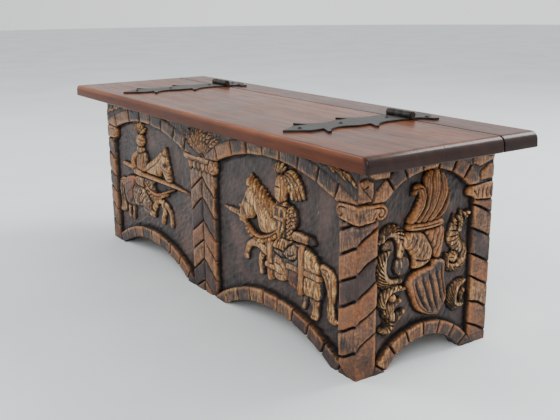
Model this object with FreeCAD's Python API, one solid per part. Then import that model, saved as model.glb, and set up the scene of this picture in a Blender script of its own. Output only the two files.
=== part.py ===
import FreeCAD
import Part
import math
import os

# A carved coffer chest. Four thick boards make the box: the front is mitred to the two ends, and the back
# stands between the ends. Their lower edges are sawn into low arches, so that the corners and the middles
# of the long sides stand as feet. A fixed rail covers the back edge, and the lid swings up from it on two
# iron strap hinges, whose barrels lie on top over the gap.
# Millimetres, +Z up, front towards -Y. The origin is on the floor under the middle of the top.

# Box
body_length = 1062.0
body_depth = 322.0
body_height = 386.0
panel_thickness = 30.0
back_thickness = 20.0
carving_depth = 12.0

# Top: the lid and the fixed rail behind it
lid_thickness = 28.0
rail_depth = 86.0
lid_gap = 3.0
front_overhang = 48.0
end_overhang = 79.0
rear_overhang = 18.0
lid_front_board_depth = 164.0
top_corner_radius = 11.0
top_edge_radius = 8.5
lower_edge_radius = 2.5

# Carved bays of the front, between three columns, under arches that spring from the middle capital
corner_column_width = 40.0
middle_column_width = 116.0
front_capital_projection = 22.0
front_capital_height = 30.0
front_spring_drop = 81.0
front_arch_rise = 42.0

# Carved field of each end, between two columns with capitals
end_column_width = 48.0
end_capital_projection = 18.0
end_capital_height = 36.0
end_spring_drop = 73.0
end_arch_rise = 40.0

# Arches sawn in the lower edges, with a ring of carved bricks above them
corner_foot_width = 71.0
middle_foot_width = 172.0
front_foot_rise = 50.0
front_brick_width = 27.0
end_foot_width = 68.0
end_foot_rise = 47.0
end_brick_width = 25.0

# Figures left standing on the sunk grounds, with few corners. Each has its height as a share of the carving's
# depth, and its outline as shares of its field: of the width, and of the height from brick ring to arch.
figure_root = 1.0
left_rider = [
    (0.60, [(0.14, 0.37), (0.06, 0.38), (0.03, 0.335), (0.03, 0.235), (0.02, 0.035), (0.09, 0.05), (0.085, 0.25),
            (0.13, 0.31)]),
    (0.60, [(0.155, 0.20), (0.235, 0.20), (0.225, 0.02), (0.195, 0.02), (0.20, 0.10), (0.175, 0.10), (0.18, 0.02),
            (0.145, 0.02)]),
    (0.68, [(0.50, 0.295), (0.59, 0.35), (0.65, 0.335), (0.705, 0.30), (0.745, 0.225), (0.745, 0.135),
            (0.715, 0.135), (0.71, 0.205), (0.66, 0.255), (0.66, 0.21), (0.635, 0.125), (0.605, 0.125),
            (0.625, 0.21), (0.615, 0.265), (0.575, 0.28), (0.50, 0.22)]),
    (0.76, [(0.11, 0.30), (0.125, 0.38), (0.25, 0.445), (0.52, 0.455), (0.545, 0.305), (0.52, 0.135),
            (0.385, 0.18), (0.255, 0.155), (0.16, 0.135), (0.12, 0.165)]),
    (0.84, [(0.425, 0.56), (0.53, 0.64), (0.64, 0.76), (0.695, 0.82), (0.71, 0.715), (0.75, 0.545), (0.74, 0.505),
            (0.705, 0.505), (0.65, 0.595), (0.605, 0.53), (0.535, 0.42), (0.445, 0.42)]),
    (0.90, [(0.315, 0.40), (0.275, 0.50), (0.245, 0.59), (0.275, 0.67), (0.34, 0.72), (0.325, 0.79), (0.30, 0.885),
            (0.305, 0.94), (0.345, 0.965), (0.42, 0.965), (0.42, 0.82), (0.40, 0.75), (0.405, 0.705),
            (0.445, 0.70), (0.445, 0.55), (0.425, 0.40)]),
    (0.97, [(0.11, 0.555), (0.11, 0.52), (0.385, 0.475), (0.755, 0.482), (0.945, 0.48), (0.945, 0.495),
            (0.755, 0.52), (0.385, 0.52)]),
]
right_rider = [
    (0.50, [(0.215, 0.54), (0.055, 0.53), (0.055, 0.51), (0.215, 0.485)]),
    (0.62, [(0.815, 0.385), (0.92, 0.37), (0.935, 0.235), (0.95, 0.035), (0.89, 0.025), (0.885, 0.175),
            (0.85, 0.30), (0.82, 0.33)]),
    (0.62, [(0.785, 0.18), (0.83, 0.18), (0.85, 0.10), (0.845, -0.015), (0.805, -0.015), (0.81, 0.09)]),
    (0.68, [(0.46, 0.35), (0.325, 0.365), (0.265, 0.305), (0.235, 0.205), (0.265, 0.195), (0.29, 0.27),
            (0.335, 0.30), (0.37, 0.28), (0.365, 0.135), (0.40, 0.135), (0.40, 0.225), (0.46, 0.26)]),
    (0.76, [(0.415, 0.38), (0.505, 0.39), (0.58, 0.335), (0.67, 0.435), (0.75, 0.465), (0.835, 0.38),
            (0.84, 0.135), (0.665, 0.15), (0.44, 0.135)]),
    (0.72, [(0.66, 0.555), (0.825, 0.535), (0.80, 0.495), (0.66, 0.49)]),
    (0.84, [(0.285, 0.81), (0.395, 0.705), (0.51, 0.605), (0.545, 0.50), (0.53, 0.365), (0.41, 0.36),
            (0.36, 0.53), (0.28, 0.495), (0.25, 0.45), (0.185, 0.48), (0.18, 0.515), (0.235, 0.64)]),
    (0.92, [(0.52, 0.35), (0.515, 0.605), (0.52, 0.695), (0.565, 0.715), (0.535, 0.79), (0.525, 0.85),
            (0.515, 0.935), (0.55, 0.985), (0.645, 0.955), (0.74, 0.90), (0.71, 0.81), (0.625, 0.775),
            (0.63, 0.705), (0.68, 0.705), (0.695, 0.605), (0.66, 0.39)]),
]
riders = {"left": left_rider, "right": right_rider}
crest = [
    (0.95, [(0.305, 0.285), (0.425, 0.365), (0.55, 0.375), (0.575, 0.415), (0.70, 0.39), (0.735, 0.14),
            (0.65, 0.035), (0.525, 0.045), (0.405, 0.115)]),
    (0.88, [(0.255, 0.60), (0.34, 0.63), (0.675, 0.625), (0.695, 0.56), (0.655, 0.40), (0.54, 0.355),
            (0.45, 0.345), (0.365, 0.39), (0.315, 0.51), (0.26, 0.53)]),
    (0.81, [(0.33, 0.61), (0.655, 0.61), (0.65, 0.69), (0.71, 0.795), (0.70, 0.92), (0.63, 0.97), (0.495, 0.975),
            (0.47, 0.905), (0.37, 0.89), (0.35, 0.855), (0.405, 0.805), (0.32, 0.71)]),
]

# Leaf scrolls round the crest: a height, a width as a share of the field's, and the line along the middle
scrolls = [
    (0.76, 0.075, [(0.22, 0.485), (0.23, 0.565), (0.20, 0.635), (0.125, 0.665), (0.06, 0.64), (0.055, 0.57)]),
    (0.76, 0.080, [(0.11, 0.53), (0.06, 0.48), (0.055, 0.42), (0.075, 0.355), (0.14, 0.32), (0.26, 0.325)]),
    (0.70, 0.065, [(0.26, 0.255), (0.17, 0.265), (0.09, 0.235), (0.07, 0.185), (0.11, 0.15)]),
    (0.70, 0.070, [(0.28, 0.115), (0.21, 0.14), (0.13, 0.125), (0.085, 0.08), (0.10, 0.03), (0.19, 0.015)]),
    (0.76, 0.085, [(0.96, 0.595), (0.94, 0.66), (0.87, 0.69), (0.795, 0.655), (0.775, 0.58), (0.825, 0.505),
                   (0.90, 0.46), (0.93, 0.395), (0.88, 0.335), (0.78, 0.33), (0.71, 0.37)]),
    (0.70, 0.075, [(0.955, 0.20), (0.87, 0.19), (0.81, 0.14), (0.805, 0.08), (0.855, 0.02)]),
]

# Bottom boards on cleats, and the glue blocks in the corners
bottom_underside = 92.0
bottom_thickness = 14.0
bottom_gap = 0.8
cleat_size = 22.0
corner_block_size = 28.0
corner_block_drop = 14.0

# Battens under the lid, set in from the hinges
batten_width = 45.0
batten_thickness = 18.0
batten_front_gap = 24.0
batten_back_gap = 17.0
batten_hinge_offset = 66.0

# Strap hinges
hinge_spacing = 698.0
leaf_thickness = 3.5
barrel_length = 68.0
barrel_radius = 7.5
barrel_lift = 0.3
knuckle_count = 3
knuckle_gap = 0.4
knuckle_relief = 0.6
pin_radius = 3.4
pin_clearance = 0.2
pin_head_radius = 5.2
pin_head_height = 1.8
strap_half_width = 63.0
strap_tip_margin = 25.0
tail_half_width = 63.0
tail_tip_margin = 22.0

# Half outlines of the leaves from barrel to tip, as shares of the length and of the half width.
# A row of four is a hollow curve, given by a point on it and its end.
strap_shares = [
    (0.15, 0.50),
    (0.29, 0.58, 0.385, 0.98),
    (0.41, 0.95),
    (0.375, 0.54),
    (0.50, 0.55),
    (0.63, 0.42, 0.76, 0.88),
    (0.785, 0.85),
    (0.74, 0.40),
    (0.85, 0.44),
]
tail_shares = [
    (0.27, 0.60, 0.44, 0.96),
    (0.64, 1.00),
    (0.60, 0.55),
    (0.80, 0.46),
]

# Round-headed nails that hold the hinges
nail_head_radius = 5.2
nail_head_height = 2.4
nail_shank_radius = 1.7
nail_length = 20.0
strap_nail_shares = [(0.125, 0.0), (0.53, 0.0), (0.865, 0.0)]
tail_nail_shares = [(0.50, -0.62), (0.55, 0.0), (0.50, 0.62)]

# Hidden fasteners
dowel_radius = 5.0
dowel_length = 44.0
dowel_seat = 17.0
screw_head_radius = 4.4
screw_head_depth = 2.8
screw_shank_radius = 2.1
panel_screw_bite = 12.0
lid_screw_bite = 13.0
brad_head_radius = 3.0
brad_head_height = 1.2
brad_shank_radius = 1.2
brad_bite = 14.0
fastener_clearance = 0.1

# Places of the hidden fasteners along the pieces that they hold
rail_dowel_shares = [-0.42, -0.14, 0.14, 0.42]
back_dowel_shares = [0.30, 0.55, 0.80]
long_cleat_screw_shares = [-0.40, -0.13, 0.13, 0.40]
short_cleat_screw_shares = [-0.30, 0.30]
brad_shares = [-0.44, -0.15, 0.15, 0.44]
batten_screw_shares = [-0.36, 0.16, 0.40]

# One overrun serves all cuts
overrun = 5.0

# Places worked out from the sizes above
top_length = body_length + 2 * end_overhang
top_depth = front_overhang + body_depth + rear_overhang
lid_front = -top_depth / 2
rail_back = top_depth / 2
rail_front = rail_back - rail_depth
lid_back = rail_front - lid_gap
lid_joint = lid_front + lid_front_board_depth
lid_top = body_height + lid_thickness
front_face = lid_front + front_overhang
back_face = front_face + body_depth
end_face = body_length / 2
inside_front = front_face + panel_thickness
inside_back = back_face - back_thickness
inside_end = end_face - panel_thickness
inside_middle = (inside_front + inside_back) / 2
inside_length = 2 * inside_end
inside_depth = inside_back - inside_front
bottom_top = bottom_underside + bottom_thickness
cleat_middle = bottom_underside - cleat_size / 2
axis_y = (lid_back + rail_front) / 2
axis_z = lid_top + barrel_lift + barrel_radius
leaf_root = barrel_radius + knuckle_relief
knuckle_pitch = barrel_length / knuckle_count
strap_length = axis_y - lid_front - strap_tip_margin
tail_length = rail_back - axis_y - tail_tip_margin
batten_front = inside_front + batten_front_gap
batten_back = lid_back - batten_back_gap
batten_length = batten_back - batten_front
batten_middle = (batten_front + batten_back) / 2
sides = {"left": -1, "right": 1}

X_AXIS = FreeCAD.Vector(1, 0, 0)
Y_AXIS = FreeCAD.Vector(0, 1, 0)
Z_AXIS = FreeCAD.Vector(0, 0, 1)


def point(x, y, z):
    return FreeCAD.Vector(x, y, z)


def block(x0, x1, y0, y1, z0, z1):
    """A square-edged board between two sides on each axis, in either order."""
    low = point(min(x0, x1), min(y0, y1), min(z0, z1))
    return Part.makeBox(abs(x1 - x0), abs(y1 - y0), abs(z1 - z0), low)


def extruded(start, steps, along):
    """A prism. A step of its outline is a corner, or a pair for an arc: a point on it and its end."""
    edges = []
    here = start
    for step in steps:
        if isinstance(step, tuple):
            through, there = step
            edges.append(Part.Arc(here, through, there).toShape())
        else:
            there = step
            edges.append(Part.makeLine(here, there))
        here = there
    if here is not start:
        edges.append(Part.makeLine(here, start))
    return Part.Face(Part.Wire(edges)).extrude(along)


def joined(shapes):
    """Touching shapes as one solid with clean faces."""
    return shapes[0].multiFuse(shapes[1:]).removeSplitter()


def cut_by(shape, cutters):
    """The shape with all its cuts made at once."""
    return shape.cut(Part.makeCompound(cutters))


def save(node, shape):
    shape.exportStep(f"parts/{node}.step")


# Arches and carved fields

def arch_radius(span, rise):
    return (span * span / 4 + rise * rise) / (2 * rise)


def ring_height(offset, foot):
    """Height of the brick ring's upper edge at an offset from the middle of a foot arch."""
    centre, span, rise, ring = foot
    radius = arch_radius(span, rise)
    outer = radius + ring
    return math.sqrt(outer * outer - offset * offset) - radius + rise


def foot_cut(place, along, foot):
    """The arched opening between two feet."""
    centre, span, rise, ring = foot
    left = centre - span / 2
    right = centre + span / 2
    steps = [
        place(left, 0),
        (place(centre, rise), place(right, 0)),
        place(right, -overrun),
    ]
    return extruded(place(left, -overrun), steps, along)


def field_cut(place, along, field, capital, arch, foot):
    """The sunk ground of a carved field: columns at its sides, an arch over it, a brick ring below it."""
    left, right = field
    left_projection, right_projection, capital_height = capital
    spring, rise = arch
    centre = foot[0]
    capital_bottom = spring - capital_height
    arch_left = left + left_projection
    arch_right = right - right_projection
    start = place(left, ring_height(left - centre, foot))
    steps = []
    if left_projection:
        steps += [place(left, capital_bottom), place(arch_left, capital_bottom)]
    steps.append(place(arch_left, spring))
    steps.append((place((arch_left + arch_right) / 2, spring + rise), place(arch_right, spring)))
    if right_projection:
        steps += [place(arch_right, capital_bottom), place(right, capital_bottom)]
    steps.append(place(right, ring_height(right - centre, foot)))
    steps.append((place(centre, ring_height(0, foot)), start))
    return extruded(start, steps, along)


def broad_line(line, width):
    """The outline of a broad line that narrows to its ends."""
    ahead = []
    behind = []
    last = len(line) - 1
    for index, (across, up) in enumerate(line):
        before = line[max(index - 1, 0)]
        after = line[min(index + 1, last)]
        run = after[0] - before[0]
        climb = after[1] - before[1]
        half = width / 4 if index in (0, last) else width / 2
        scale = half / math.hypot(run, climb)
        ahead.append((across - climb * scale, up + run * scale))
        behind.append((across + climb * scale, up - run * scale))
    return ahead + behind[::-1]


def raised(ground, outward, field, rise, figures, scroll_lines=()):
    """Figures left standing on a sunk ground, and rooted a little below it."""
    left, right = field
    low, high = rise

    def spots(shares):
        return [(left + across * (right - left), low + up * (high - low)) for across, up in shares]

    outlines = [(height, spots(shares)) for height, shares in figures]
    for height, width, line in scroll_lines:
        outlines.append((height, broad_line(spots(line), width * (right - left))))
    solids = []
    for height, outline in outlines:
        corners = [ground(*spot) for spot in outline]
        solids.append(extruded(corners[0], corners[1:], outward * (figure_root + height * carving_depth)))
    return solids


long_foot_span = end_face - corner_foot_width - middle_foot_width / 2
long_foot_middle = (end_face - corner_foot_width + middle_foot_width / 2) / 2
end_foot_span = body_depth - 2 * end_foot_width
end_foot = (front_face + body_depth / 2, end_foot_span, end_foot_rise, end_brick_width)


def long_foot(side):
    return (side * long_foot_middle, long_foot_span, front_foot_rise, front_brick_width)


# Fasteners

def screw(head, direction, length, clearance=0.0):
    """A countersunk screw from its head's face inwards, or its hole."""
    head_cone = Part.makeCone(
        screw_head_radius + clearance, screw_shank_radius + clearance, screw_head_depth, head, direction
    )
    shank = Part.makeCylinder(screw_shank_radius + clearance, length + clearance, head, direction)
    return joined([head_cone, shank])


def dowel(joint, direction, clearance=0.0):
    """A dowel across a joint: its seat is on the side that the direction points to."""
    tail = dowel_length - dowel_seat + clearance
    start = joint - direction * tail
    return Part.makeCylinder(dowel_radius + clearance, tail + dowel_seat + clearance, start, direction)


def nail(seat):
    """A domed iron nail, standing on its seat."""
    dome_radius = arch_radius(2 * nail_head_radius, nail_head_height)
    shoulder = nail_head_radius / 2
    dome_drop = dome_radius - math.sqrt(dome_radius * dome_radius - shoulder * shoulder)
    rim = point(nail_head_radius, 0, 0)
    dome = point(shoulder, 0, nail_head_height - dome_drop)
    crown = point(0, 0, nail_head_height)
    tip = point(0, 0, -nail_length)
    under_head = point(nail_shank_radius, 0, 0)
    shank_end = point(nail_shank_radius, 0, -nail_length)
    edges = [
        Part.makeLine(tip, shank_end),
        Part.makeLine(shank_end, under_head),
        Part.makeLine(under_head, rim),
        Part.Arc(rim, dome, crown).toShape(),
        Part.makeLine(crown, tip),
    ]
    turned = Part.Face(Part.Wire(edges)).revolve(point(0, 0, 0), Z_AXIS, 360)
    turned.translate(seat)
    return turned


def nail_hole(seat):
    return Part.makeCylinder(
        nail_shank_radius + fastener_clearance, nail_length + fastener_clearance, seat, -Z_AXIS
    )


def brad(seat):
    """A flat-headed brad through a bottom board into its cleat."""
    head = Part.makeCylinder(brad_head_radius, brad_head_height, seat, Z_AXIS)
    shank = Part.makeCylinder(brad_shank_radius, bottom_thickness + brad_bite, seat, -Z_AXIS)
    return joined([head, shank])


def brad_hole(seat):
    depth = bottom_thickness + brad_bite + fastener_clearance
    return Part.makeCylinder(brad_shank_radius + fastener_clearance, depth, seat, -Z_AXIS)


# Each cleat screw is its head's place and its direction. The bodies and the holes share these lists.
cleat_screws = []
for share in long_cleat_screw_shares:
    along_x = share * inside_length
    cleat_screws.append((point(along_x, inside_front + cleat_size, cleat_middle), -Y_AXIS))
    cleat_screws.append((point(along_x, inside_back - cleat_size, cleat_middle), Y_AXIS))
for share in short_cleat_screw_shares:
    along_y = inside_middle + share * inside_depth
    for side in sides.values():
        cleat_screws.append((point(side * (inside_end - cleat_size), along_y, cleat_middle), X_AXIS * side))
cleat_screw_length = cleat_size + panel_screw_bite
cleat_screw_holes = [screw(*place, cleat_screw_length, fastener_clearance) for place in cleat_screws]

back_middle = back_face - back_thickness / 2
rail_dowels = []
for share in rail_dowel_shares:
    rail_dowels.append((point(share * inside_length, back_middle, body_height), Z_AXIS))
for side in sides.values():
    end_middle = side * (end_face - panel_thickness / 2)
    rail_dowels.append((point(end_middle, (rail_front + inside_back) / 2, body_height), Z_AXIS))
rail_dowel_holes = [dowel(*place, fastener_clearance) for place in rail_dowels]

back_dowels = []
for side in sides.values():
    for share in back_dowel_shares:
        back_dowels.append((point(side * inside_end, back_middle, share * body_height), X_AXIS * side))
back_dowel_holes = [dowel(*place, fastener_clearance) for place in back_dowels]

brad_seats = []
for share in brad_shares:
    for along_y in (inside_front + cleat_size / 2, inside_back - cleat_size / 2):
        brad_seats.append(point(share * inside_length, along_y, bottom_top))
brad_holes = [brad_hole(seat) for seat in brad_seats]

batten_screw_length = batten_thickness + lid_screw_bite
batten_screws = []
for side in sides.values():
    batten_x = side * (hinge_spacing / 2 - batten_hinge_offset)
    for share in batten_screw_shares:
        head = point(batten_x, batten_middle + share * batten_length, body_height - batten_thickness)
        batten_screws.append((head, Z_AXIS))
batten_screw_holes = [screw(*place, batten_screw_length, fastener_clearance) for place in batten_screws]


def nail_seats(centre, toward, length, half_width, shares):
    """Where a leaf's nails stand on it."""
    seats = []
    for along, across in shares:
        along_y = axis_y + toward * along * length
        seats.append(point(centre + across * half_width, along_y, lid_top + leaf_thickness))
    return seats


strap_nails = {}
tail_nails = {}
for name, side in sides.items():
    hinge_x = side * hinge_spacing / 2
    strap_nails[name] = nail_seats(hinge_x, -1, strap_length, strap_half_width, strap_nail_shares)
    tail_nails[name] = nail_seats(hinge_x, 1, tail_length, tail_half_width, tail_nail_shares)
strap_nail_holes = [nail_hole(seat) for seats in strap_nails.values() for seat in seats]
tail_nail_holes = [nail_hole(seat) for seats in tail_nails.values() for seat in seats]


# Panels of the box

def front_panel():
    """The front board, mitred at both corners, with a rider in each of two sunk bays and two foot arches."""
    board = extruded(
        point(-end_face, front_face, 0),
        [
            point(end_face, front_face, 0),
            point(inside_end, inside_front, 0),
            point(-inside_end, inside_front, 0),
        ],
        Z_AXIS * body_height,
    )

    def place(x, z):
        return point(x, front_face - overrun, z)

    def ground(x, z):
        return point(x, front_face + carving_depth + figure_root, z)

    spring = body_height - front_spring_drop
    through = Y_AXIS * (panel_thickness + 2 * overrun)
    sunk = Y_AXIS * (carving_depth + overrun)
    cuts = list(cleat_screw_holes)
    figures = []
    for name, side in sides.items():
        field = sorted([side * middle_column_width / 2, side * (end_face - corner_column_width)])
        left_projection = front_capital_projection if side > 0 else 0
        capital = (left_projection, front_capital_projection - left_projection, front_capital_height)
        cuts.append(foot_cut(place, through, long_foot(side)))
        cuts.append(field_cut(place, sunk, field, capital, (spring, front_arch_rise), long_foot(side)))
        rise = (ring_height(0, long_foot(side)), spring + front_arch_rise)
        figures += raised(ground, -Y_AXIS, field, rise, riders[name])
    return joined([cut_by(board, cuts)] + figures)


def end_panel(side):
    """An end board, mitred to the front, with a crest and scrolls in a sunk field and one foot arch."""
    board = extruded(
        point(side * end_face, front_face, 0),
        [
            point(side * end_face, back_face, 0),
            point(side * inside_end, back_face, 0),
            point(side * inside_end, inside_front, 0),
        ],
        Z_AXIS * body_height,
    )

    def place(y, z):
        return point(side * (end_face + overrun), y, z)

    def ground(y, z):
        return point(side * (end_face - carving_depth - figure_root), y, z)

    field = (front_face + end_column_width, back_face - end_column_width)
    capital = (end_capital_projection, end_capital_projection, end_capital_height)
    spring = body_height - end_spring_drop
    cuts = cleat_screw_holes + rail_dowel_holes + back_dowel_holes
    cuts.append(foot_cut(place, X_AXIS * -side * (panel_thickness + 2 * overrun), end_foot))
    sunk = X_AXIS * -side * (carving_depth + overrun)
    cuts.append(field_cut(place, sunk, field, capital, (spring, end_arch_rise), end_foot))
    rise = (ring_height(0, end_foot), spring + end_arch_rise)
    figures = raised(ground, X_AXIS * side, field, rise, crest, scrolls)
    return joined([cut_by(board, cuts)] + figures)


def back_panel():
    """The plain back board, between the ends, with the front's two foot arches."""
    board = block(-inside_end, inside_end, inside_back, back_face, 0, body_height)

    def place(x, z):
        return point(x, inside_back - overrun, z)

    through = Y_AXIS * (back_thickness + 2 * overrun)
    cuts = cleat_screw_holes + rail_dowel_holes + back_dowel_holes
    cuts += [foot_cut(place, through, long_foot(side)) for side in sides.values()]
    return cut_by(board, cuts)


# Bottom and inner corners

def cleats():
    """The strips that carry the bottom boards: the short ones stand between the long ones."""
    low = bottom_underside - cleat_size
    front_inner = inside_front + cleat_size
    back_inner = inside_back - cleat_size
    end_inner = inside_end - cleat_size
    strips = {
        "front": block(-inside_end, inside_end, inside_front, front_inner, low, bottom_underside),
        "back": block(-inside_end, inside_end, back_inner, inside_back, low, bottom_underside),
    }
    for name, side in sides.items():
        wall = side * inside_end
        strips[name] = block(wall, side * end_inner, front_inner, back_inner, low, bottom_underside)
    return {name: cut_by(strip, cleat_screw_holes + brad_holes) for name, strip in strips.items()}


def bottom_boards():
    """Two boards along the chest, loose by a small gap all round."""
    half_length = inside_end - bottom_gap
    joint = bottom_gap / 2
    edges = {
        "front": (inside_front + bottom_gap, inside_middle - joint),
        "rear": (inside_middle + joint, inside_back - bottom_gap),
    }
    boards = {}
    for name, (y0, y1) in edges.items():
        board = block(-half_length, half_length, y0, y1, bottom_underside, bottom_top)
        boards[name] = cut_by(board, brad_holes)
    return boards


def corner_block(side, wall, inward):
    """A square glue block in an inner corner, on the bottom boards and below the rim."""
    return block(
        side * inside_end, side * (inside_end - corner_block_size),
        wall, wall + inward * corner_block_size,
        bottom_top, body_height - corner_block_drop,
    )


# Lid and rear rail

def top_slab():
    """The whole top with its rounded edges, before it is sawn into lid boards and rail."""
    slab = block(-top_length / 2, top_length / 2, lid_front, rail_back, body_height, lid_top)
    upright = [edge for edge in slab.Edges if abs(edge.tangentAt(edge.FirstParameter).z) > abs(X_AXIS.z)]
    slab = slab.makeFillet(top_corner_radius, upright)
    for height, radius in ((lid_top, top_edge_radius), (body_height, lower_edge_radius)):
        rim = [edge for edge in slab.Edges if edge.BoundBox.ZMin == edge.BoundBox.ZMax == height]
        slab = slab.makeFillet(radius, rim)
    return slab


def sawn(slab, y0, y1):
    half = top_length / 2 + overrun
    return slab.common(block(-half, half, y0, y1, body_height - overrun, lid_top + overrun))


def lid_batten(side):
    centre = side * (hinge_spacing / 2 - batten_hinge_offset)
    batten = block(
        centre - batten_width / 2, centre + batten_width / 2,
        batten_front, batten_back,
        body_height - batten_thickness, body_height,
    )
    return cut_by(batten, batten_screw_holes)


# Strap hinges

def leaf(centre, toward, length, half_width, shares, knuckles, holes):
    """A barbed leaf lying on the top, with the knuckles that it wraps round the pin."""
    def spot(mirror, along, across):
        return point(centre + mirror * across * half_width, axis_y + toward * along * length, lid_top)

    def step(mirror, corner, hollow):
        there = spot(mirror, *corner)
        return (spot(mirror, *hollow), there) if hollow else there

    root = (leaf_root / length, barrel_length / 2 / half_width)
    corners = [root] + [row[-2:] for row in shares] + [(1, 0)]
    hollows = [None] + [row[:-2] for row in shares] + [None]
    steps = [step(1, corner, hollow) for corner, hollow in zip(corners[1:], hollows[1:])]
    steps += [step(-1, corner, hollow) for corner, hollow in zip(corners[-2::-1], hollows[:0:-1])]
    pieces = [extruded(spot(1, *root), steps, Z_AXIS * leaf_thickness)]
    width = knuckle_pitch - knuckle_gap
    for knuckle in knuckles:
        x0 = centre + knuckle * knuckle_pitch - width / 2
        pieces.append(Part.makeCylinder(barrel_radius, width, point(x0, axis_y, axis_z), X_AXIS))
        root_edge = axis_y + toward * leaf_root
        pieces.append(block(x0, x0 + width, axis_y, root_edge, lid_top, lid_top + leaf_thickness))
    bore_start = point(centre - barrel_length, axis_y, axis_z)
    bore = Part.makeCylinder(pin_radius + pin_clearance, 2 * barrel_length, bore_start, X_AXIS)
    return cut_by(joined(pieces), [bore] + holes)


def hinge_pin(centre):
    """The pin through the barrel, with a flat head hammered on each end."""
    start = point(centre - barrel_length / 2, axis_y, axis_z)
    end = point(centre + barrel_length / 2, axis_y, axis_z)
    return joined([
        Part.makeCylinder(pin_radius, barrel_length, start, X_AXIS),
        Part.makeCylinder(pin_head_radius, pin_head_height, start, -X_AXIS),
        Part.makeCylinder(pin_head_radius, pin_head_height, end, X_AXIS),
    ])


# The finished pieces, one file each
os.makedirs("parts", exist_ok=True)

save("front_panel", front_panel())
save("back_panel", back_panel())
for name, side in sides.items():
    save(f"{name}_end_panel", end_panel(side))
    save(f"corner_block_front_{name}", corner_block(side, inside_front, 1))
    save(f"corner_block_back_{name}", corner_block(side, inside_back, -1))
save("back_joint_dowels", Part.makeCompound([dowel(*place) for place in back_dowels]))

for name, strip in cleats().items():
    save(f"bottom_cleat_{name}", strip)
save("bottom_cleat_screws", Part.makeCompound([screw(*place, cleat_screw_length) for place in cleat_screws]))
for name, board in bottom_boards().items():
    save(f"bottom_board_{name}", board)
save("bottom_board_brads", Part.makeCompound([brad(seat) for seat in brad_seats]))

whole_top = top_slab()
rail_holes = rail_dowel_holes + tail_nail_holes
save("rear_rail", cut_by(sawn(whole_top, rail_front, rail_back + overrun), rail_holes))
save("rear_rail_dowels", Part.makeCompound([dowel(*place) for place in rail_dowels]))
lid_holes = strap_nail_holes + batten_screw_holes
save("lid_board_front", cut_by(sawn(whole_top, lid_front - overrun, lid_joint), lid_holes))
save("lid_board_rear", cut_by(sawn(whole_top, lid_joint, lid_back), lid_holes))
save("lid_batten_screws", Part.makeCompound([screw(*place, batten_screw_length) for place in batten_screws]))

for name, side in sides.items():
    hinge_x = side * hinge_spacing / 2
    save(f"lid_batten_{name}", lid_batten(side))
    strap = leaf(hinge_x, -1, strap_length, strap_half_width, strap_shares, [0], strap_nail_holes)
    save(f"hinge_{name}_strap", strap)
    tail = leaf(hinge_x, 1, tail_length, tail_half_width, tail_shares, [-1, 1], tail_nail_holes)
    save(f"hinge_{name}_tail_leaf", tail)
    save(f"hinge_{name}_pin", hinge_pin(hinge_x))
    save(f"hinge_{name}_strap_nails", Part.makeCompound([nail(seat) for seat in strap_nails[name]]))
    save(f"hinge_{name}_tail_nails", Part.makeCompound([nail(seat) for seat in tail_nails[name]]))
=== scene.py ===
import math

import bmesh
import bpy
import numpy as np
from mathutils import Matrix, Vector, noise


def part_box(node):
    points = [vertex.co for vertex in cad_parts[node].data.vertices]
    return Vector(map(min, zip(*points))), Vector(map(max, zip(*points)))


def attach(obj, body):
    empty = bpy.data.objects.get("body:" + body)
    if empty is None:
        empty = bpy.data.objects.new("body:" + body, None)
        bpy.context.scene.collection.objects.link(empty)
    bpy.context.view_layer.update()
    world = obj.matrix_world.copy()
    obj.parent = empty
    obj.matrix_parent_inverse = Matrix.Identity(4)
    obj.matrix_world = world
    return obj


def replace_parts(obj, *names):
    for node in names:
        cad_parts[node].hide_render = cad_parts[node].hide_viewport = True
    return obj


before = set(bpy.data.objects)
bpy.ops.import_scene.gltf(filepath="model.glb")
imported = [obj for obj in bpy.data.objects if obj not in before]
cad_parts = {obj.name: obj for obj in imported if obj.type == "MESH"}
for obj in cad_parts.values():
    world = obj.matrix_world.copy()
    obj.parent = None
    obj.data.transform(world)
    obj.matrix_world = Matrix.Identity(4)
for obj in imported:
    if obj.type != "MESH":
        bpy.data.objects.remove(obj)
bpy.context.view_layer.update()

# The room round the chest: a pale, faintly mottled cement floor under soft daylight from large windows.
# It only shows the chest and isn't part of it.


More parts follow.
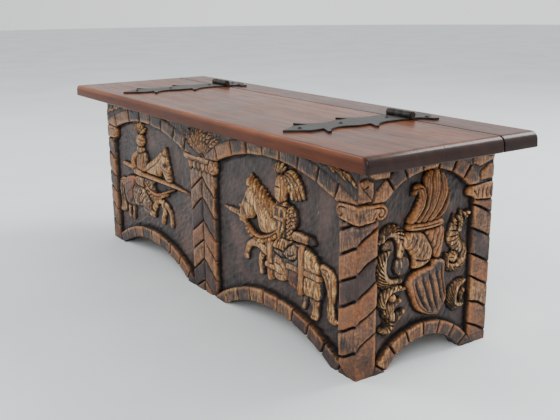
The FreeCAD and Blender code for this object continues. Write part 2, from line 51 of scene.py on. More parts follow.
class Shade:
    # One socket of a finish. Sums on it add the Math nodes that work them out.
    def __init__(self, tree, socket=None):
        self.tree = tree
        self.socket = socket

    def node(self, kind, settings, sockets, output=0):
        made = self.tree.nodes.new(kind)
        for name, value in settings.items():
            setattr(made, name, value)
        for name, value in sockets.items():
            if isinstance(value, Shade):
                self.tree.links.new(value.socket, made.inputs[name])
            else:
                made.inputs[name].default_value = value
        return Shade(self.tree, made.outputs[output])

    def part(self, output):
        return Shade(self.tree, self.socket.node.outputs[output])

    def own_place(self):
        # where a spot lies on the piece itself, so that a finish moves with it
        return self.node("ShaderNodeTexCoord", {}, {}, "Object")

    def stretched(self, place, scale, **turned):
        return self.node("ShaderNodeMapping", {}, {"Vector": place, "Scale": scale, **turned})

    def speckle(self, place, scale, detail, **more):
        return self.node("ShaderNodeTexNoise", {},
                         {"Vector": place, "Scale": scale, "Detail": detail, **more})

    def axes(self, place):
        return self.node("ShaderNodeSeparateXYZ", {}, {"Vector": place})

    def bump(self, height, strength, distance):
        return self.node("ShaderNodeBump", {},
                         {"Height": height, "Strength": strength, "Distance": distance})

    def sum(self, operation, first, second, clamp=False):
        return self.node("ShaderNodeMath", {"operation": operation, "use_clamp": clamp},
                         {0: first, 1: second})

    def __add__(self, other):
        return self.sum("ADD", self, other)

    def __radd__(self, other):
        return self.sum("ADD", other, self)

    def __sub__(self, other):
        return self.sum("SUBTRACT", self, other)

    def __rsub__(self, other):
        return self.sum("SUBTRACT", other, self)

    def __mul__(self, other):
        return self.sum("MULTIPLY", self, other)

    def __rmul__(self, other):
        return self.sum("MULTIPLY", other, self)

    def __abs__(self):
        return self.sum("ABSOLUTE", self, 0.0)

    def between(self, low, high):
        # 0 below low, 1 above high, and a straight run from one to the other
        return self.node("ShaderNodeMapRange", {"clamp": True},
                         {"Value": self, "From Min": low, "From Max": high})

    def mix(self, first, second):
        # this share of the second colour over the first
        return self.node("ShaderNodeMix", {"data_type": "RGBA"}, {0: self, 6: first, 7: second}, 2)


def tint(red, green, blue):
    # a paint-chart colour, 0 to 255, as the light it gives back
    light = [c / 255 / 12.92 if c <= 10 else ((c / 255 + 0.055) / 1.055) ** 2.4 for c in (red, green, blue)]
    return (*light, 1.0)


def finish_named(name, **fixed):
    # a new material: its shader node, and a Shade to add more nodes with
    material = bpy.data.materials.new(name)
    material.use_nodes = True
    shader = material.node_tree.nodes["Principled BSDF"]
    for socket, value in fixed.items():
        shader.inputs[socket.replace("_", " ")].default_value = value
    return material, shader, Shade(material.node_tree)


def feed(shader, **sockets):
    # link each worked-out value to the shader socket of its name
    for name, value in sockets.items():
        value.tree.links.new(value.socket, shader.inputs[name.replace("_", " ")])


def place_piece(name, mesh, material, body=None):
    # a new object with its one material, on its body unless it is part of the room
    piece = bpy.data.objects.new(name, mesh)
    bpy.context.collection.objects.link(piece)
    mesh.materials.clear()
    mesh.materials.append(material)
    if body:
        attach(piece, body)
    return piece


floor_radius = 14.0
cement, cement_shader, mixing = finish_named("cement_floor", Roughness=0.75)
mottle = mixing.speckle(mixing.own_place(), 2.2, 6.0)
feed(cement_shader, Base_Color=mottle.between(0.3, 0.7).mix(tint(230, 237, 239), tint(243, 247, 248)))
disc = bmesh.new()
bmesh.ops.create_circle(disc, cap_ends=True, segments=96, radius=floor_radius)
floor_mesh = bpy.data.meshes.new("floor")
disc.to_mesh(floor_mesh)
disc.free()
place_piece("floor", floor_mesh, cement)

daylight = bpy.data.worlds.new("daylight")
daylight.use_nodes = True
sky = daylight.node_tree.nodes["Background"]
sky.inputs["Strength"].default_value = 1.28
mixing = Shade(daylight.node_tree)
facing = mixing.axes(mixing.own_place())
feed(sky, Color=facing.part(1).between(-0.4, 0.5).mix((0.4, 0.41, 0.42, 1), (0.95, 0.97, 0.98, 1)))
bpy.context.scene.world = daylight
for name, place, aim, size, power in (("window_right", (2.6, -2.6, 2.4), (0, 0, 0.2), 2.2, 90),
                                      ("window_left", (-2.6, -2.2, 2.2), (-0.1, 0, 0.25), 2.0, 60),
                                      ("window_behind", (0.6, 2.8, 2.5), (0.3, 0, 0.4), 1.5, 110)):
    lamp = bpy.data.lights.new(name, "AREA")
    lamp.size = size
    lamp.energy = power
    window = bpy.data.objects.new(name, lamp)
    bpy.context.collection.objects.link(window)
    window.matrix_world = (Matrix.Translation(place)
                           @ (Vector(place) - Vector(aim)).to_track_quat("Z", "Y").to_matrix().to_4x4())

# The camera: it stands to the right of the chest and a little above its lid, and looks down along the front
# through a normal lens, tilted by a hair.
stand = Vector((1.50092, -0.94586, 0.65456))
turn_to_chest, look_down, tilt = -0.9819, -0.2683, -0.0107
camera_data = bpy.data.cameras.new("camera")
camera_data.sensor_width = 36.0
camera_data.lens = 51.40
camera = bpy.data.objects.new("camera", camera_data)
bpy.context.collection.objects.link(camera)
ahead = Vector((math.sin(turn_to_chest) * math.cos(look_down), math.cos(turn_to_chest) * math.cos(look_down),
                math.sin(look_down)))
camera.matrix_world = (Matrix.Translation(stand) @ ahead.to_track_quat("-Z", "Y").to_matrix().to_4x4()
                       @ Matrix.Rotation(tilt, 4, "Z"))
bpy.context.scene.camera = camera

# Front board: one thick plank of softwood, its two bays cut back by hand to leave riders, columns and
# arches of stones standing. It was stained, glazed dark and rubbed back to gold on the raised parts.
MM = 0.001
body_length = 1062.0
body_height = 386.0
board_thickness = 30.0
carving_depth = 12.0
corner_round = 7.0
front_face_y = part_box("front_panel")[0][1] / MM


def drawn(points, closed=False, steps=6):
    # the smooth line that a carver draws through a few marks
    marks = np.array(points, float)
    if closed:
        before, start, after, far = (np.roll(marks, shift, 0) for shift in (1, 0, -1, -2))
    else:
        run = np.vstack((2 * marks[0] - marks[1], marks, 2 * marks[-1] - marks[-2]))
        before, start, after, far = run[:-3], run[1:-2], run[2:-1], run[3:]
    t = (np.arange(steps) / steps)[None, :, None]
    before, start, after, far = before[:, None], start[:, None], after[:, None], far[:, None]
    bend = 2 * before - 5 * start + 4 * after - far + t * (3 * (start - after) + far - before)
    line = start + 0.5 * t * (after - before + t * bend)
    return np.vstack((line.reshape(-1, 2), marks[:1] if closed else marks[-1:]))


def swell(share):
    # a quarter-round, from 0 at its foot to 1 at its crown
    return np.sqrt(1 - (1 - np.clip(share, 0, 1)) ** 2)


def unevenness(u, z, wide, high, seed):
    # soft random hollows and rises, 0 to 1, about wide by high millimetres each
    table = np.random.default_rng(seed).random((97, 89))
    x = u / wide
    y = z / high
    i, j = np.floor(x).astype(int), np.floor(y).astype(int)
    x, y = x - i, y - j
    x, y = x * x * (3 - 2 * x), y * y * (3 - 2 * y)
    near_left, near_right, far_left, far_right = (table[(i + a) % 97, (j + b) % 89]
                                                  for b in (0, 1) for a in (0, 1))
    return (near_left * (1 - x) + near_right * x) * (1 - y) + (far_left * (1 - x) + far_right * x) * y


def gouge_marks(u, z, long, wide, lean, seed):
    # the dished cuts that a gouge leaves side by side: rise towards a cut's rim, and a number for each cut
    random = np.random.default_rng(seed)
    shift, depth = random.random((61, 67, 2)), random.random((61, 67))
    x = (u * math.cos(lean) + z * math.sin(lean)) / long
    y = (z * math.cos(lean) - u * math.sin(lean)) / wide
    i, j = np.floor(x).astype(int), np.floor(y).astype(int)
    rim, number = np.full_like(x, 9.0), np.zeros_like(x)
    for a in (-1, 0, 1):
        for b in (-1, 0, 1):
            middle = shift[(i + a) % 61, (j + b) % 67]
            gap = (i + a + middle[..., 0] - x) ** 2 + (j + b + middle[..., 1] - y) ** 2
            number = np.where(gap < rim, depth[(i + a) % 61, (j + b) % 67], number)
            rim = np.minimum(rim, gap)
    return np.minimum(rim, 1.0), number


class Carving:
    # A board's carved face: heights over its sunk ground and three stains, the dark one with painted shade in
    # it, on a fine grid. Places are millimetres along the board from its left or front edge (u) and up from
    # the floor (z).
    def __init__(self, length, lower_edge, pitch, trimmed):
        along = np.linspace(trimmed[0], length - trimmed[1], round(length / pitch) + 1)
        share = np.linspace(0, 1, round(body_height / pitch) + 1)
        self.length = length
        self.lower_edge = lower_edge
        self.u, share = np.meshgrid(along, share, indexing="ij")
        low = lower_edge(self.u)
        self.z = low + share * (body_height - low)
        self.level, self.gold, self.red, self.dark = (np.zeros_like(self.u) for k in range(4))

    def near(self, path, margin):
        # the part of the grid that a path and its margin cover
        low, high = path.min(0) - margin, path.max(0) + margin
        columns = np.flatnonzero((self.u[:, 0] >= low[0]) & (self.u[:, 0] <= high[0]))
        z = self.z[columns[0]:columns[-1] + 1]
        rows = np.flatnonzero((z >= low[1]).any(0) & (z <= high[1]).any(0))
        return np.s_[columns[0]:columns[-1] + 1, rows[0]:rows[-1] + 1]

    def reach(self, at, path):
        # how far each spot is from a path, and how far along the path its nearest point lies
        spots = np.stack((self.u[at], self.z[at]), -1)[..., None, :]
        start, run = path[:-1], path[1:] - path[:-1]
        share = ((spots - start) * run).sum(-1) / np.maximum((run ** 2).sum(-1), 1e-9)
        share = np.clip(share, 0, 1)
        gap = np.linalg.norm(spots - start - share[..., None] * run, axis=-1)
        nearest = gap.argmin(-1)[..., None]
        place = nearest + np.take_along_axis(share, nearest, -1)
        return np.take_along_axis(gap, nearest, -1)[..., 0], place[..., 0] / len(run)

    def inset(self, at, loop):
        # how far inside a closed outline each spot is, less than 0 outside
        u, z = self.u[at][..., None], self.z[at][..., None]
        (u0, z0), (u1, z1) = loop[:-1].T, loop[1:].T
        rise = np.where(z1 == z0, 1e-9, z1 - z0)
        crossed = ((z0 > z) != (z1 > z)) & (u < u0 + (z - z0) * (u1 - u0) / rise)
        return np.where(crossed.sum(-1) % 2 == 1, 1, -1) * self.reach(at, loop)[0]

    def stain_and_shade(self, at, cover, gold=None, red=None, dark=None):
        # lay on the stains that are given, each as thickly as its cover, 0 to 1; the dark one also carries
        # painted shade
        for coat, value in ((self.gold, gold), (self.red, red), (self.dark, dark)):
            if value is not None:
                coat[at] += cover * (value - coat[at])

    def settle(self, at, inset, form, gold, red, moat, dark):
        # leave a form standing, with a ditch cut round it, glaze caught in the ditch and painted shade on the
        # ground round it
        outside = inset <= 0
        ditch = np.clip(1 + inset / 4.0, 0, 1) * outside
        self.level[at] = np.where(outside, self.level[at] - moat * ditch, form)
        # a dark ring on the ground round the form: glaze in the ditch and painted shade beyond it
        self.stain_and_shade(at, np.clip(1 + inset / 6.5, 0, 1) ** 2 * outside * min(moat, 1.0), dark=0.95)
        self.stain_and_shade(at, np.clip(inset / 0.9 + 0.6, 0, 1), gold, red, dark)

    def carve(self, outline, top, edge, gold=0.7, red=0.15, moat=1.3, foot=2.0, sharp=False, dark=0.0):
        # a form inside an outline, rounded over its edge
        loop = np.array(outline + outline[:1], float) if sharp else drawn(outline, True)
        at = self.near(loop, 8)
        inset = self.inset(at, loop)
        self.settle(at, inset, foot + (top - foot) * swell(inset / edge), gold, red, moat, dark)

    def rib(self, points, widths, top, gold=0.7, red=0.15, moat=1.0, foot=1.5):
        # a round ridge along a line, whose width and height may change on the way
        path = drawn(points)
        at = self.near(path, max(widths) / 2 + 8)
        gap, share = self.reach(at, path)
        half = np.interp(share, np.linspace(0, 1, len(widths)), widths) / 2
        height = np.interp(share, np.linspace(0, 1, np.size(top)), np.atleast_1d(top))
        form = foot + (height - foot) * swell((half - gap) / half)
        self.settle(at, half - gap, form, gold, red, moat, 0.0)

    def groove(self, points, width, depth, dark=0.9):
        # a V-cut along a line, finer at both ends, with glaze caught in it
        path = drawn(points)
        at = self.near(path, width)
        gap, share = self.reach(at, path)
        taper = np.clip(np.minimum(share, 1 - share) * 6, 0.35, 1)
        cut = np.clip(1 - gap / (width / 2 * taper), 0, 1)
        self.level[at] -= depth * taper * cut
        self.stain_and_shade(at, np.sqrt(cut) * 0.9, dark=dark)

    def grooves(self, paths, width, depth, dark=0.9):
        for path in paths:
            self.groove(path, width, depth, dark)

    def hatch(self, outline, lean, spacing, depth, dark=0.7, wander=0.5):
        # cuts side by side all over a form
        loop = drawn(outline, True)
        at = self.near(loop, 1)
        inset = np.clip(self.inset(at, loop) / 2.5, 0, 1)
        u, z = self.u[at], self.z[at]
        across = (z * math.cos(lean) - u * math.sin(lean)) / spacing + wander * unevenness(u, z, 9, 9, 5)
        cut = np.clip(np.cos(2 * math.pi * across) * 1.6 - 0.6, 0, 1) * inset
        self.level[at] -= depth * cut
        self.stain_and_shade(at, cut * dark, dark=0.9)

    def beads(self, path, step, size, gold):
        # a row of small drops
        for u, z in drawn(path)[::step]:
            self.carve([(u - size, z), (u, z + size), (u + size, z), (u, z - 1.1 * size)], 12, 1.1 * size,
                       gold, 0.2, 1.6, 6)

    def stones(self, body, inset, along, joints, gold, red, soften, dip, gap, seed):
        # a course of pillowed stones with cut joints; each stone has its own height and tone
        joints = np.asarray(joints, float)
        along, inset = along[body], inset[body]
        nearest = np.abs(along[:, None] - joints).min(1)
        number = np.searchsorted(joints, along)
        crown = swell(np.minimum(inset, nearest - gap) / soften)
        drop, tone, warm = np.random.default_rng(seed).random((3, len(joints) + 1))
        cut = np.clip(1.25 - nearest / gap, 0, 1)
        sunk = 1.3 * drop[number] + dip * (1 - crown) + 4.5 * cut
        from_edge = np.minimum(self.u, self.length - self.u)[body]
        self.level[body] = carving_depth - sunk * np.clip(from_edge / 9, 0.25, 1)
        self.gold[body] = np.clip(gold + 0.45 * (tone[number] - 0.5), 0, 1) * (0.55 + 0.45 * crown)
        self.red[body] = np.clip(red + 0.36 * (warm[number] - 0.5), 0, 1)
        self.dark[body] = np.maximum(cut, 0.35 * (1 - crown))

    def clear_ground(self, long, wide, lean, seed):
        # the sunk ground, left as the gouge left it and glazed almost black
        u, z = self.u, self.z
        wander = 9 * unevenness(u, z, 60, 60, 3), 9 * unevenness(u, z, 50, 50, 4)
        rim, number = gouge_marks(u + wander[0], z + wander[1], long, wide, lean, seed)
        self.level += 2.6 * rim - 1.1 + 1.6 * (unevenness(u, z, 40, 30, 8) - 0.5)
        patches = np.clip(unevenness(u, z, 70, 26, 12) * 2 - 0.9, 0, 1)
        self.gold[:] = 0.05 + 0.10 * patches + 0.05 * rim * number
        self.red[:] = 0.3 * unevenness(u, z, 80, 30, 13)
        self.dark[:] = 0.12 * number

    def shade_beside(self, frame_gap):
        # the ground dips where it runs up to the stones that frame it, and is painted dark there as their
        # shadow
        close = np.clip(1 - frame_gap / 9, 0, 1) * (frame_gap > 0)
        self.level -= 1.2 * close
        self.dark[:] = np.maximum(self.dark, 0.95 * close ** 1.2)

    def averaged(self, field, reach):
        # a field smoothed by running means, twice each way
        for axis in (0, 1, 0, 1):
            pad = [(reach + 1, reach) if a == axis else (0, 0) for a in (0, 1)]
            total = np.cumsum(np.pad(field, pad, mode="edge"), axis)
            count = total.shape[axis]
            ahead_part = np.take(total, np.arange(2 * reach + 1, count), axis)
            field = (ahead_part - np.take(total, np.arange(0, count - 2 * reach - 1), axis)) / (2 * reach + 1)
        return field

    def dress(self):
        # knife marks over all that stands, glaze and painted shade in the hollows, darker patches low down,
        # gold where hands rub
        u, z = self.u, self.z
        rim = np.clip(1 - np.minimum(u, self.length - u) / 8, 0, 1)
        self.level += rim * np.clip(carving_depth - 1.8 - self.level, 0, None)
        proud = np.clip(self.level / 6, 0, 1)
        marks = 0.9 * (unevenness(u, z, 6, 4, 51) - 0.5) + 1.0 * (unevenness(u, z, 15, 10, 52) - 0.5)
        self.level = np.minimum(self.level + proud * marks, carving_depth)
        # glaze in the narrow hollows, and painted shade in the wider recesses that lie under the mean level
        # round them
        hollow = self.averaged(self.level, 3) - self.level
        recess = self.averaged(self.level, 9) - self.level
        glaze_and_shade = np.clip(hollow / 2.0, 0, 0.95) + np.clip(recess / 7, 0, 0.5)
        # darker patches towards the bottom of the board
        dark_patches = 0.7 * np.clip(1 - z / 80, 0, 1) * unevenness(u, z, 30, 30, 53)
        self.dark = np.maximum(self.dark, np.clip(glaze_and_shade + dark_patches, 0, 0.95))
        self.gold = np.clip(self.gold * (0.8 + 0.2 * proud) + 0.45 * np.clip(-hollow / 1.8, 0, 1) * proud,
                            0, 1)

    def coats_at(self, u, z):
        # the stains and the painted shade in the dark one at places on the face, as colour channels
        columns, rows = self.u.shape
        first, last = self.u[0, 0], self.u[-1, 0]
        low = self.lower_edge(u)
        i = np.clip((u - first) / (last - first) * (columns - 1), 0, columns - 1).round().astype(int)
        j = np.clip((z - low) / (body_height - low) * (rows - 1), 0, rows - 1).round().astype(int)
        return np.stack((self.gold[i, j], self.red[i, j], self.dark[i, j], np.ones_like(u)), -1)


def corners_of(mesh):
    co = np.empty(3 * len(mesh.vertices))
    mesh.vertices.foreach_get("co", co)
    return co.reshape(-1, 3)


def carved_board(name, carving, rounds, triangles, back_reach):
    # The face's grid, thinned where it is flat, then its rim run back to a flat rear: u, depth and z.
    # A mitred side is rounded to half the corner and ends on the mitre, so both boards meet there.
    columns, rows = carving.u.shape
    u = carving.u.copy()
    depth = carving_depth - carving.level
    for side, (radius, mitred) in enumerate(rounds):
        edge = u if side == 0 else carving.length - u
        inner = np.clip(radius - edge, 0, radius * (math.sqrt(0.5) if mitred else 1))
        depth += radius - np.sqrt(radius ** 2 - inner ** 2)
    for side, (radius, mitred) in enumerate(rounds):
        if mitred:
            edge = carving.u if side == 0 else carving.length - carving.u
            rim = 0 if side == 0 else -1
            ease = np.clip(1 - (edge - edge[rim, 0]) / 12, 0, 1) ** 2
            u += (1 if side == 0 else -1) * ease * (depth[rim] - edge[rim])[None, :]
    sheet = bmesh.new()
    bmesh.ops.create_grid(sheet, x_segments=columns - 1, y_segments=rows - 1, size=0.5)
    flat = bpy.data.meshes.new(name + "_sheet")
    sheet.to_mesh(flat)
    sheet.free()
    co = corners_of(flat)
    i = ((co[:, 0] + 0.5) * (columns - 1)).round().astype(int)
    j = ((co[:, 1] + 0.5) * (rows - 1)).round().astype(int)
    co = np.stack((u[i, j], depth[i, j], carving.z[i, j]), -1)
    flat.vertices.foreach_set("co", co.ravel() * MM)
    rough = bpy.data.objects.new(name + "_sheet", flat)
    bpy.context.collection.objects.link(rough)
    thin = rough.modifiers.new("thin", "DECIMATE")
    thin.ratio = triangles / (2 * (columns - 1) * (rows - 1))
    thinned = bpy.data.meshes.new_from_object(rough.evaluated_get(bpy.context.evaluated_depsgraph_get()))
    board = bmesh.new()
    board.from_mesh(thinned)
    rim_edges = [edge for edge in board.edges if edge.is_boundary]
    run_back = bmesh.ops.extrude_edge_only(board, edges=rim_edges)["geom"]
    for vertex in (part for part in run_back if isinstance(part, bmesh.types.BMVert)):
        vertex.co.x = min(max(vertex.co.x, back_reach[0] * MM), back_reach[1] * MM)
        vertex.co.y = board_thickness * MM
    bmesh.ops.remove_doubles(board, verts=board.verts, dist=1e-6)
    bmesh.ops.holes_fill(board, edges=[edge for edge in board.edges if edge.is_boundary])
    bmesh.ops.triangulate(board, faces=[face for face in board.faces if len(face.verts) > 4])
    bmesh.ops.recalc_face_normals(board, faces=board.faces)
    mesh = bpy.data.meshes.new(name)
    board.to_mesh(mesh)
    board.free()
    bpy.data.objects.remove(rough)
    co = corners_of(mesh) / MM
    coats = carving.coats_at(co[:, 0], co[:, 2])
    coats[co[:, 1] > board_thickness - 0.5] = (0.16, 0.3, 0.1, 1)
    # the stains, with painted shade in the dark channel, kept on the board's points as a colour attribute
    mesh.color_attributes.new("stain_and_shade", "FLOAT_COLOR", "POINT").data.foreach_set("color", coats.ravel())
    return mesh


def set_board(mesh, to_chest):
    # put a board in its place in the chest
    mesh.transform(to_chest)
    if to_chest.determinant() < 0:
        mesh.flip_normals()
    mesh.shade_smooth()
    mesh.set_sharp_from_angle(angle=math.radians(55))


def carved_finish(name, streak, lean):
    # Stained softwood, glazed near black and rubbed back in streaks, with painted shade in its recesses. The
    # stains and the painted shade are painted on as the board's own attribute.
    material, shader, mixing = finish_named(name, Specular_IOR_Level=0.3, Coat_Weight=0.14,
                                            Coat_Roughness=0.25)
    place = mixing.own_place()
    stain_and_shade = mixing.node("ShaderNodeAttribute", {"attribute_name": "stain_and_shade"}, {}, "Color")
    gold = mixing.node("ShaderNodeSeparateColor", {}, {"Color": stain_and_shade})
    red, dark = gold.part(1), gold.part(2)
    blotch = mixing.speckle(place, 26.0, 4.0)
    speck = mixing.speckle(place, 240.0, 2.0)
    patch = mixing.speckle(place, 13.0, 3.0).between(0.54, 0.68)
    strokes = []
    for turn in (0.7, -1.0):
        brushed = mixing.stretched(place, streak, Rotation=[turn * angle for angle in lean])
        strokes.append(mixing.speckle(brushed, 330.0, 3.0))
    stroke = strokes[0] + (strokes[1] - strokes[0]) * blotch.between(0.46, 0.54)
    scratched = (stroke - 0.5) * (1.75 - 2.5 * red) + (speck - 0.5) * 0.45
    wear = gold * 1.15 - red * 0.2 + scratched + (blotch - 0.5) * 0.55
    rubbed = wear.between(0.4, 0.98)
    ground = blotch.between(0.38, 0.66).mix(tint(26, 24, 25), tint(69, 53, 47))
    ground = (patch * 0.6).mix(ground, tint(100, 73, 64))
    ground = (stroke.between(0.44, 0.72) * 0.5).mix(ground, tint(104, 88, 82))
    worn = rubbed.mix(ground, scratched.between(-0.08, 0.36).mix(tint(122, 76, 34), tint(230, 194, 134)))
    warm = (red * (0.55 + 0.9 * blotch)).mix(worn, rubbed.mix(tint(52, 31, 23), tint(150, 82, 35)))
    # the dark channel, glaze and painted shade together, darkens the colour towards near black
    glaze_and_shade = mixing.sum("MULTIPLY", dark, 0.6 + 0.75 * stroke, True)
    feed(shader, Base_Color=glaze_and_shade.mix(warm, tint(14, 10, 9)))
    feed(shader, Roughness=0.52 - 0.12 * rubbed + (speck - 0.5) * 0.25 + 0.12 * glaze_and_shade)
    relief = stroke * 0.8 + speck * 0.4
    feed(shader, Normal=mixing.bump(relief, 0.4, 0.0012))
    return material


foot_span, foot_rise, brick_width = 374.0, 50.0, 27.0
foot_middles = (258.0, 804.0)
foot_radius = (foot_span ** 2 / 4 + foot_rise ** 2) / (2 * foot_rise)


def front_lower_edge(u):
    edge = np.zeros_like(u)
    for middle in foot_middles:
        fall = np.clip(foot_radius ** 2 - (u - middle) ** 2, 0, None)
        edge = np.maximum(edge, np.sqrt(fall) + foot_rise - foot_radius)
    return edge


corner_trim = corner_round * (1 - math.sqrt(0.5))
front = Carving(body_length, front_lower_edge, pitch=1.3, trimmed=(corner_trim, corner_trim))
u, z = front.u, front.z
front.clear_ground(long=24, wide=9, lean=0.5, seed=11)
frame_gap = np.full_like(u, 99.0)

# Front board, its columns: two at the corners and a double one between the bays. Each is left standing proud
# and cut across with slanting joints, and its stones are rounded over one by one.
corner_joints = np.cumsum((0, 90, 48, 47, 45, 49, 46, 47, 45)) - 62.0
joint_slope, middle_slope, corner_column = 0.5, 0.72, 52.0
from_corner = np.minimum(u, body_length - u)
wander = 5 * np.clip(from_corner / 12, 0, 1) * (unevenness(u, z, 25, 40, 22) - 0.5)
for low, high, middle, seed in ((-9, 39, None, 15), (472, 578, 525, 17), (1010, 1071, None, 15)):
    inset = np.minimum(u - low, high - u) + 1.5 * (unevenness(u, z, 16, 30, 21) - 0.5)
    frame_gap = np.minimum(frame_gap, np.maximum(-inset, 0))
    body = (inset > 0) & (z < 322)
    along = z - joint_slope * (corner_column - from_corner)
    if middle:
        along = z + middle_slope * np.abs(u - middle)
        inset = np.minimum(inset, np.abs(u - middle) - 1.5)
    gap = 1.6 if middle else 2.3
    front.stones(body, inset, along + wander, corner_joints, gold=0.46, red=0.46, soften=13, dip=3.4, gap=gap,
                 seed=seed)

# Front board, the arches over its bays: rings of wedge-shaped stones with cut joints, which spring from the
# columns, and flat spandrels under the lid.
ring, board_middle = 31.0, body_length / 2
for left, right, spring, rise, joints, seed in (
        (40, 452, 306, 40, (-40, 60, 146, 210, 274, 334, 396, 448, 520), 31),
        (584, 1012, 307, 45, (540, 592, 653, 712, 769, 828, 888, 947, 1001, 1100), 32)):
    half, middle = (right - left) / 2, (left + right) / 2
    radius = (half ** 2 + rise ** 2) / (2 * rise)
    reach = np.hypot(u - middle, z - (spring + rise - radius)) + 1.6 * (unevenness(u, z, 30, 30, 31) - 0.5)
    own_half = (u < board_middle) == (middle < board_middle)
    span = own_half & (u > left - 60) & (u < right + 60) & (z > 250)
    inset = np.minimum(reach - radius, radius + ring - reach)
    body = span & (inset > 0) & (z > np.where(np.abs(u - 525) < 75, 309, 285))
    along = (u - middle) / np.maximum(reach, 1) * (radius + ring / 2) + middle
    front.stones(body, inset, along, joints, gold=0.5, red=0.4, soften=10, dip=2.8, gap=2.3, seed=seed)
    spandrel = span & (reach >= radius + ring)
    front.level[spandrel] = carving_depth - 3.2
    front.gold[spandrel] = 0.3
    front.dark[spandrel] = 0.35
    under = span & (z > spring - 12)
    frame_gap = np.where(under, np.minimum(frame_gap, np.maximum(radius - reach, 0)), frame_gap)

# Front board, the bricks round its foot arches: a narrow course carved along each sawn edge, so that the
# board seems to stand on arches of brick.
for middle, start, seed in zip(foot_middles, (-8, 14), (41, 42)):
    reach = np.hypot(u - middle, z - foot_rise + foot_radius) + 1.2 * (unevenness(u, z, 30, 30, 41) - 0.5)
    frame_gap = np.minimum(frame_gap, np.maximum(reach - foot_radius - brick_width, 0))
    along = np.arctan2(u - middle, z - foot_rise + foot_radius) * (foot_radius + brick_width / 2)
    inset = np.minimum(reach - foot_radius + 4, foot_radius + brick_width - reach)
    body = ((u < board_middle) == (middle < board_middle)) & (inset > 0)
    front.stones(body, inset, along, np.arange(-7, 8) * 51.0 + start, gold=0.4, red=0.42, soften=5, dip=1.6,
                 gap=2.0, seed=seed)
# painted shadow of the framing stones on the ground of both bays
front.shade_beside(frame_gap)

# Front board, the middle capital: a slab with teeth and a volute, a fan of leaves over it, and leaves in
# the outer corners.
for angle, reach in zip(np.radians((32, 52, 72, 90, 108, 128, 148)), (92, 80, 68, 64, 68, 80, 92)):
    ahead = np.array((math.cos(angle), math.sin(angle)))
    aside = np.array((-ahead[1], ahead[0]))
    foot = np.array((528, 312)) + ahead * (12, 8)
    bow = foot + 0.5 * reach * (ahead + 0.12 * aside)
    tip = foot + reach * ahead
    front.rib([foot, bow, tip], (7, 20, 3), (10, 11.5, 8), 0.5, 0.3, foot=6)
    front.groove([foot, bow, tip], 2.8, 3)
    for share in (0.3, 0.45, 0.6, 0.75):
        vein = foot + share * reach * ahead + 0.09 * reach * aside * math.sin(math.pi * share)
        for side in (-1, 1):
            front.groove([vein, vein + 4 * ahead + 5 * side * aside, vein + 10 * ahead + 9 * side * aside],
                         2.6, 3.2)
front.carve([(444, 308), (446, 297), (470, 292), (560, 291), (590, 293), (588, 308)], 12, 4, 0.6, 0.3,
            sharp=True)
for u0 in range(474, 551, 19):
    front.carve([(u0 - 8, 294), (u0 - 7, 281), (u0, 276), (u0 + 7, 281), (u0 + 8, 294)], 11, 5, 0.6, 0.3,
                foot=5)
front.carve([(566, 309), (584, 303), (588, 289), (579, 277), (564, 277), (555, 288), (558, 301)], 12, 7,
            0.65, 0.3)
front.groove([(560, 304), (578, 301), (581, 289), (571, 283), (565, 290), (571, 294)], 3.2, 4)
front.groove([(448, 300), (500, 299), (552, 300)], 2.4, 2)
for corner, turn in ((2, 1), (1060, -1)):
    for k in range(4):
        u0, z0 = corner + turn * (6 + 30 * k), 345 + 8 * k
        front.rib([(u0, z0), (u0 + turn * 22, z0 + 14), (u0 + turn * 50, z0 + 20)], (4, 13, 3), 11.5, 0.6,
                  0.2, foot=5)
        front.groove([(u0 + turn * 6, z0 + 4), (u0 + turn * 22, z0 + 14), (u0 + turn * 44, z0 + 19)], 2.6, 3)

# Front board, the capitals of its corner columns: each a flat scroll, rolled up at its inner end, that meets
# the one on the end board at the mitre.
scroll = [(-8, 312), (46, 313), (58, 307), (61, 296), (55, 286), (44, 281), (-8, 280)]
scroll_cut = [(8, 304), (46, 305), (55, 296), (48, 288), (42, 293), (47, 298)]
for corner, turn in ((0, 1), (body_length, -1)):
    front.carve([(corner + turn * across, up) for across, up in scroll], 12, 6, 0.6, 0.4)
    front.groove([(corner + turn * across, up) for across, up in scroll_cut], 3.4, 4.2)

# Front board, the right rider, facing left: lance tip, tail and hind legs, then the horse's cloth, forelegs,
# saddle, neck, head and rein, and last the rider with shield, closed helm and plume.
front.rib([(671, 215), (641, 216), (609, 218)], (14, 11, 2.5), (7, 6, 3), 0.5, 0.3)
front.carve([(950, 182), (971, 183), (988, 177), (995, 158), (993, 131), (990, 110), (996, 93), (1006, 89),
             (993, 80), (977, 82), (972, 100), (974, 124), (968, 148), (957, 165)], 9, 11, 0.55)
front.grooves(([(953, 177), (978, 175), (987, 151), (985, 113), (990, 87)],
               [(953, 171), (972, 167), (981, 144), (980, 113), (985, 84)],
               [(955, 166), (965, 158), (974, 134), (976, 110), (980, 84)]), 3.2, 3.4)
front.carve([(890, 115), (911, 115), (909, 98), (901, 80), (890, 80), (896, 97)], 5, 8, 0.25)
front.carve([(914, 120), (946, 119), (945, 93), (940, 71), (922, 71), (927, 89), (921, 103)], 8.5, 10, 0.5)
front.groove([(923, 79), (940, 79)], 3, 2)
front.carve([(769, 179), (783, 186), (807, 179), (841, 165), (862, 176), (879, 193), (897, 201), (914, 203),
             (936, 194), (951, 177), (955, 148), (952, 114), (910, 113), (876, 118), (841, 120), (800, 113),
             (780, 115), (772, 144)], 9, 16, 0.35, 0.25)
front.carve([(908, 197), (928, 197), (947, 182), (950, 163), (928, 160), (907, 162)], 11.5, 12, 0.9, 0.05,
            foot=7)
front.carve([(907, 145), (928, 147), (950, 147), (950, 115), (928, 113), (906, 115)], 11, 9, 0.8, 0.1, foot=7)
front.carve([(858, 144), (876, 147), (890, 147), (891, 114), (872, 116), (857, 120)], 10.5, 9, 0.5, 1.0,
            foot=7)
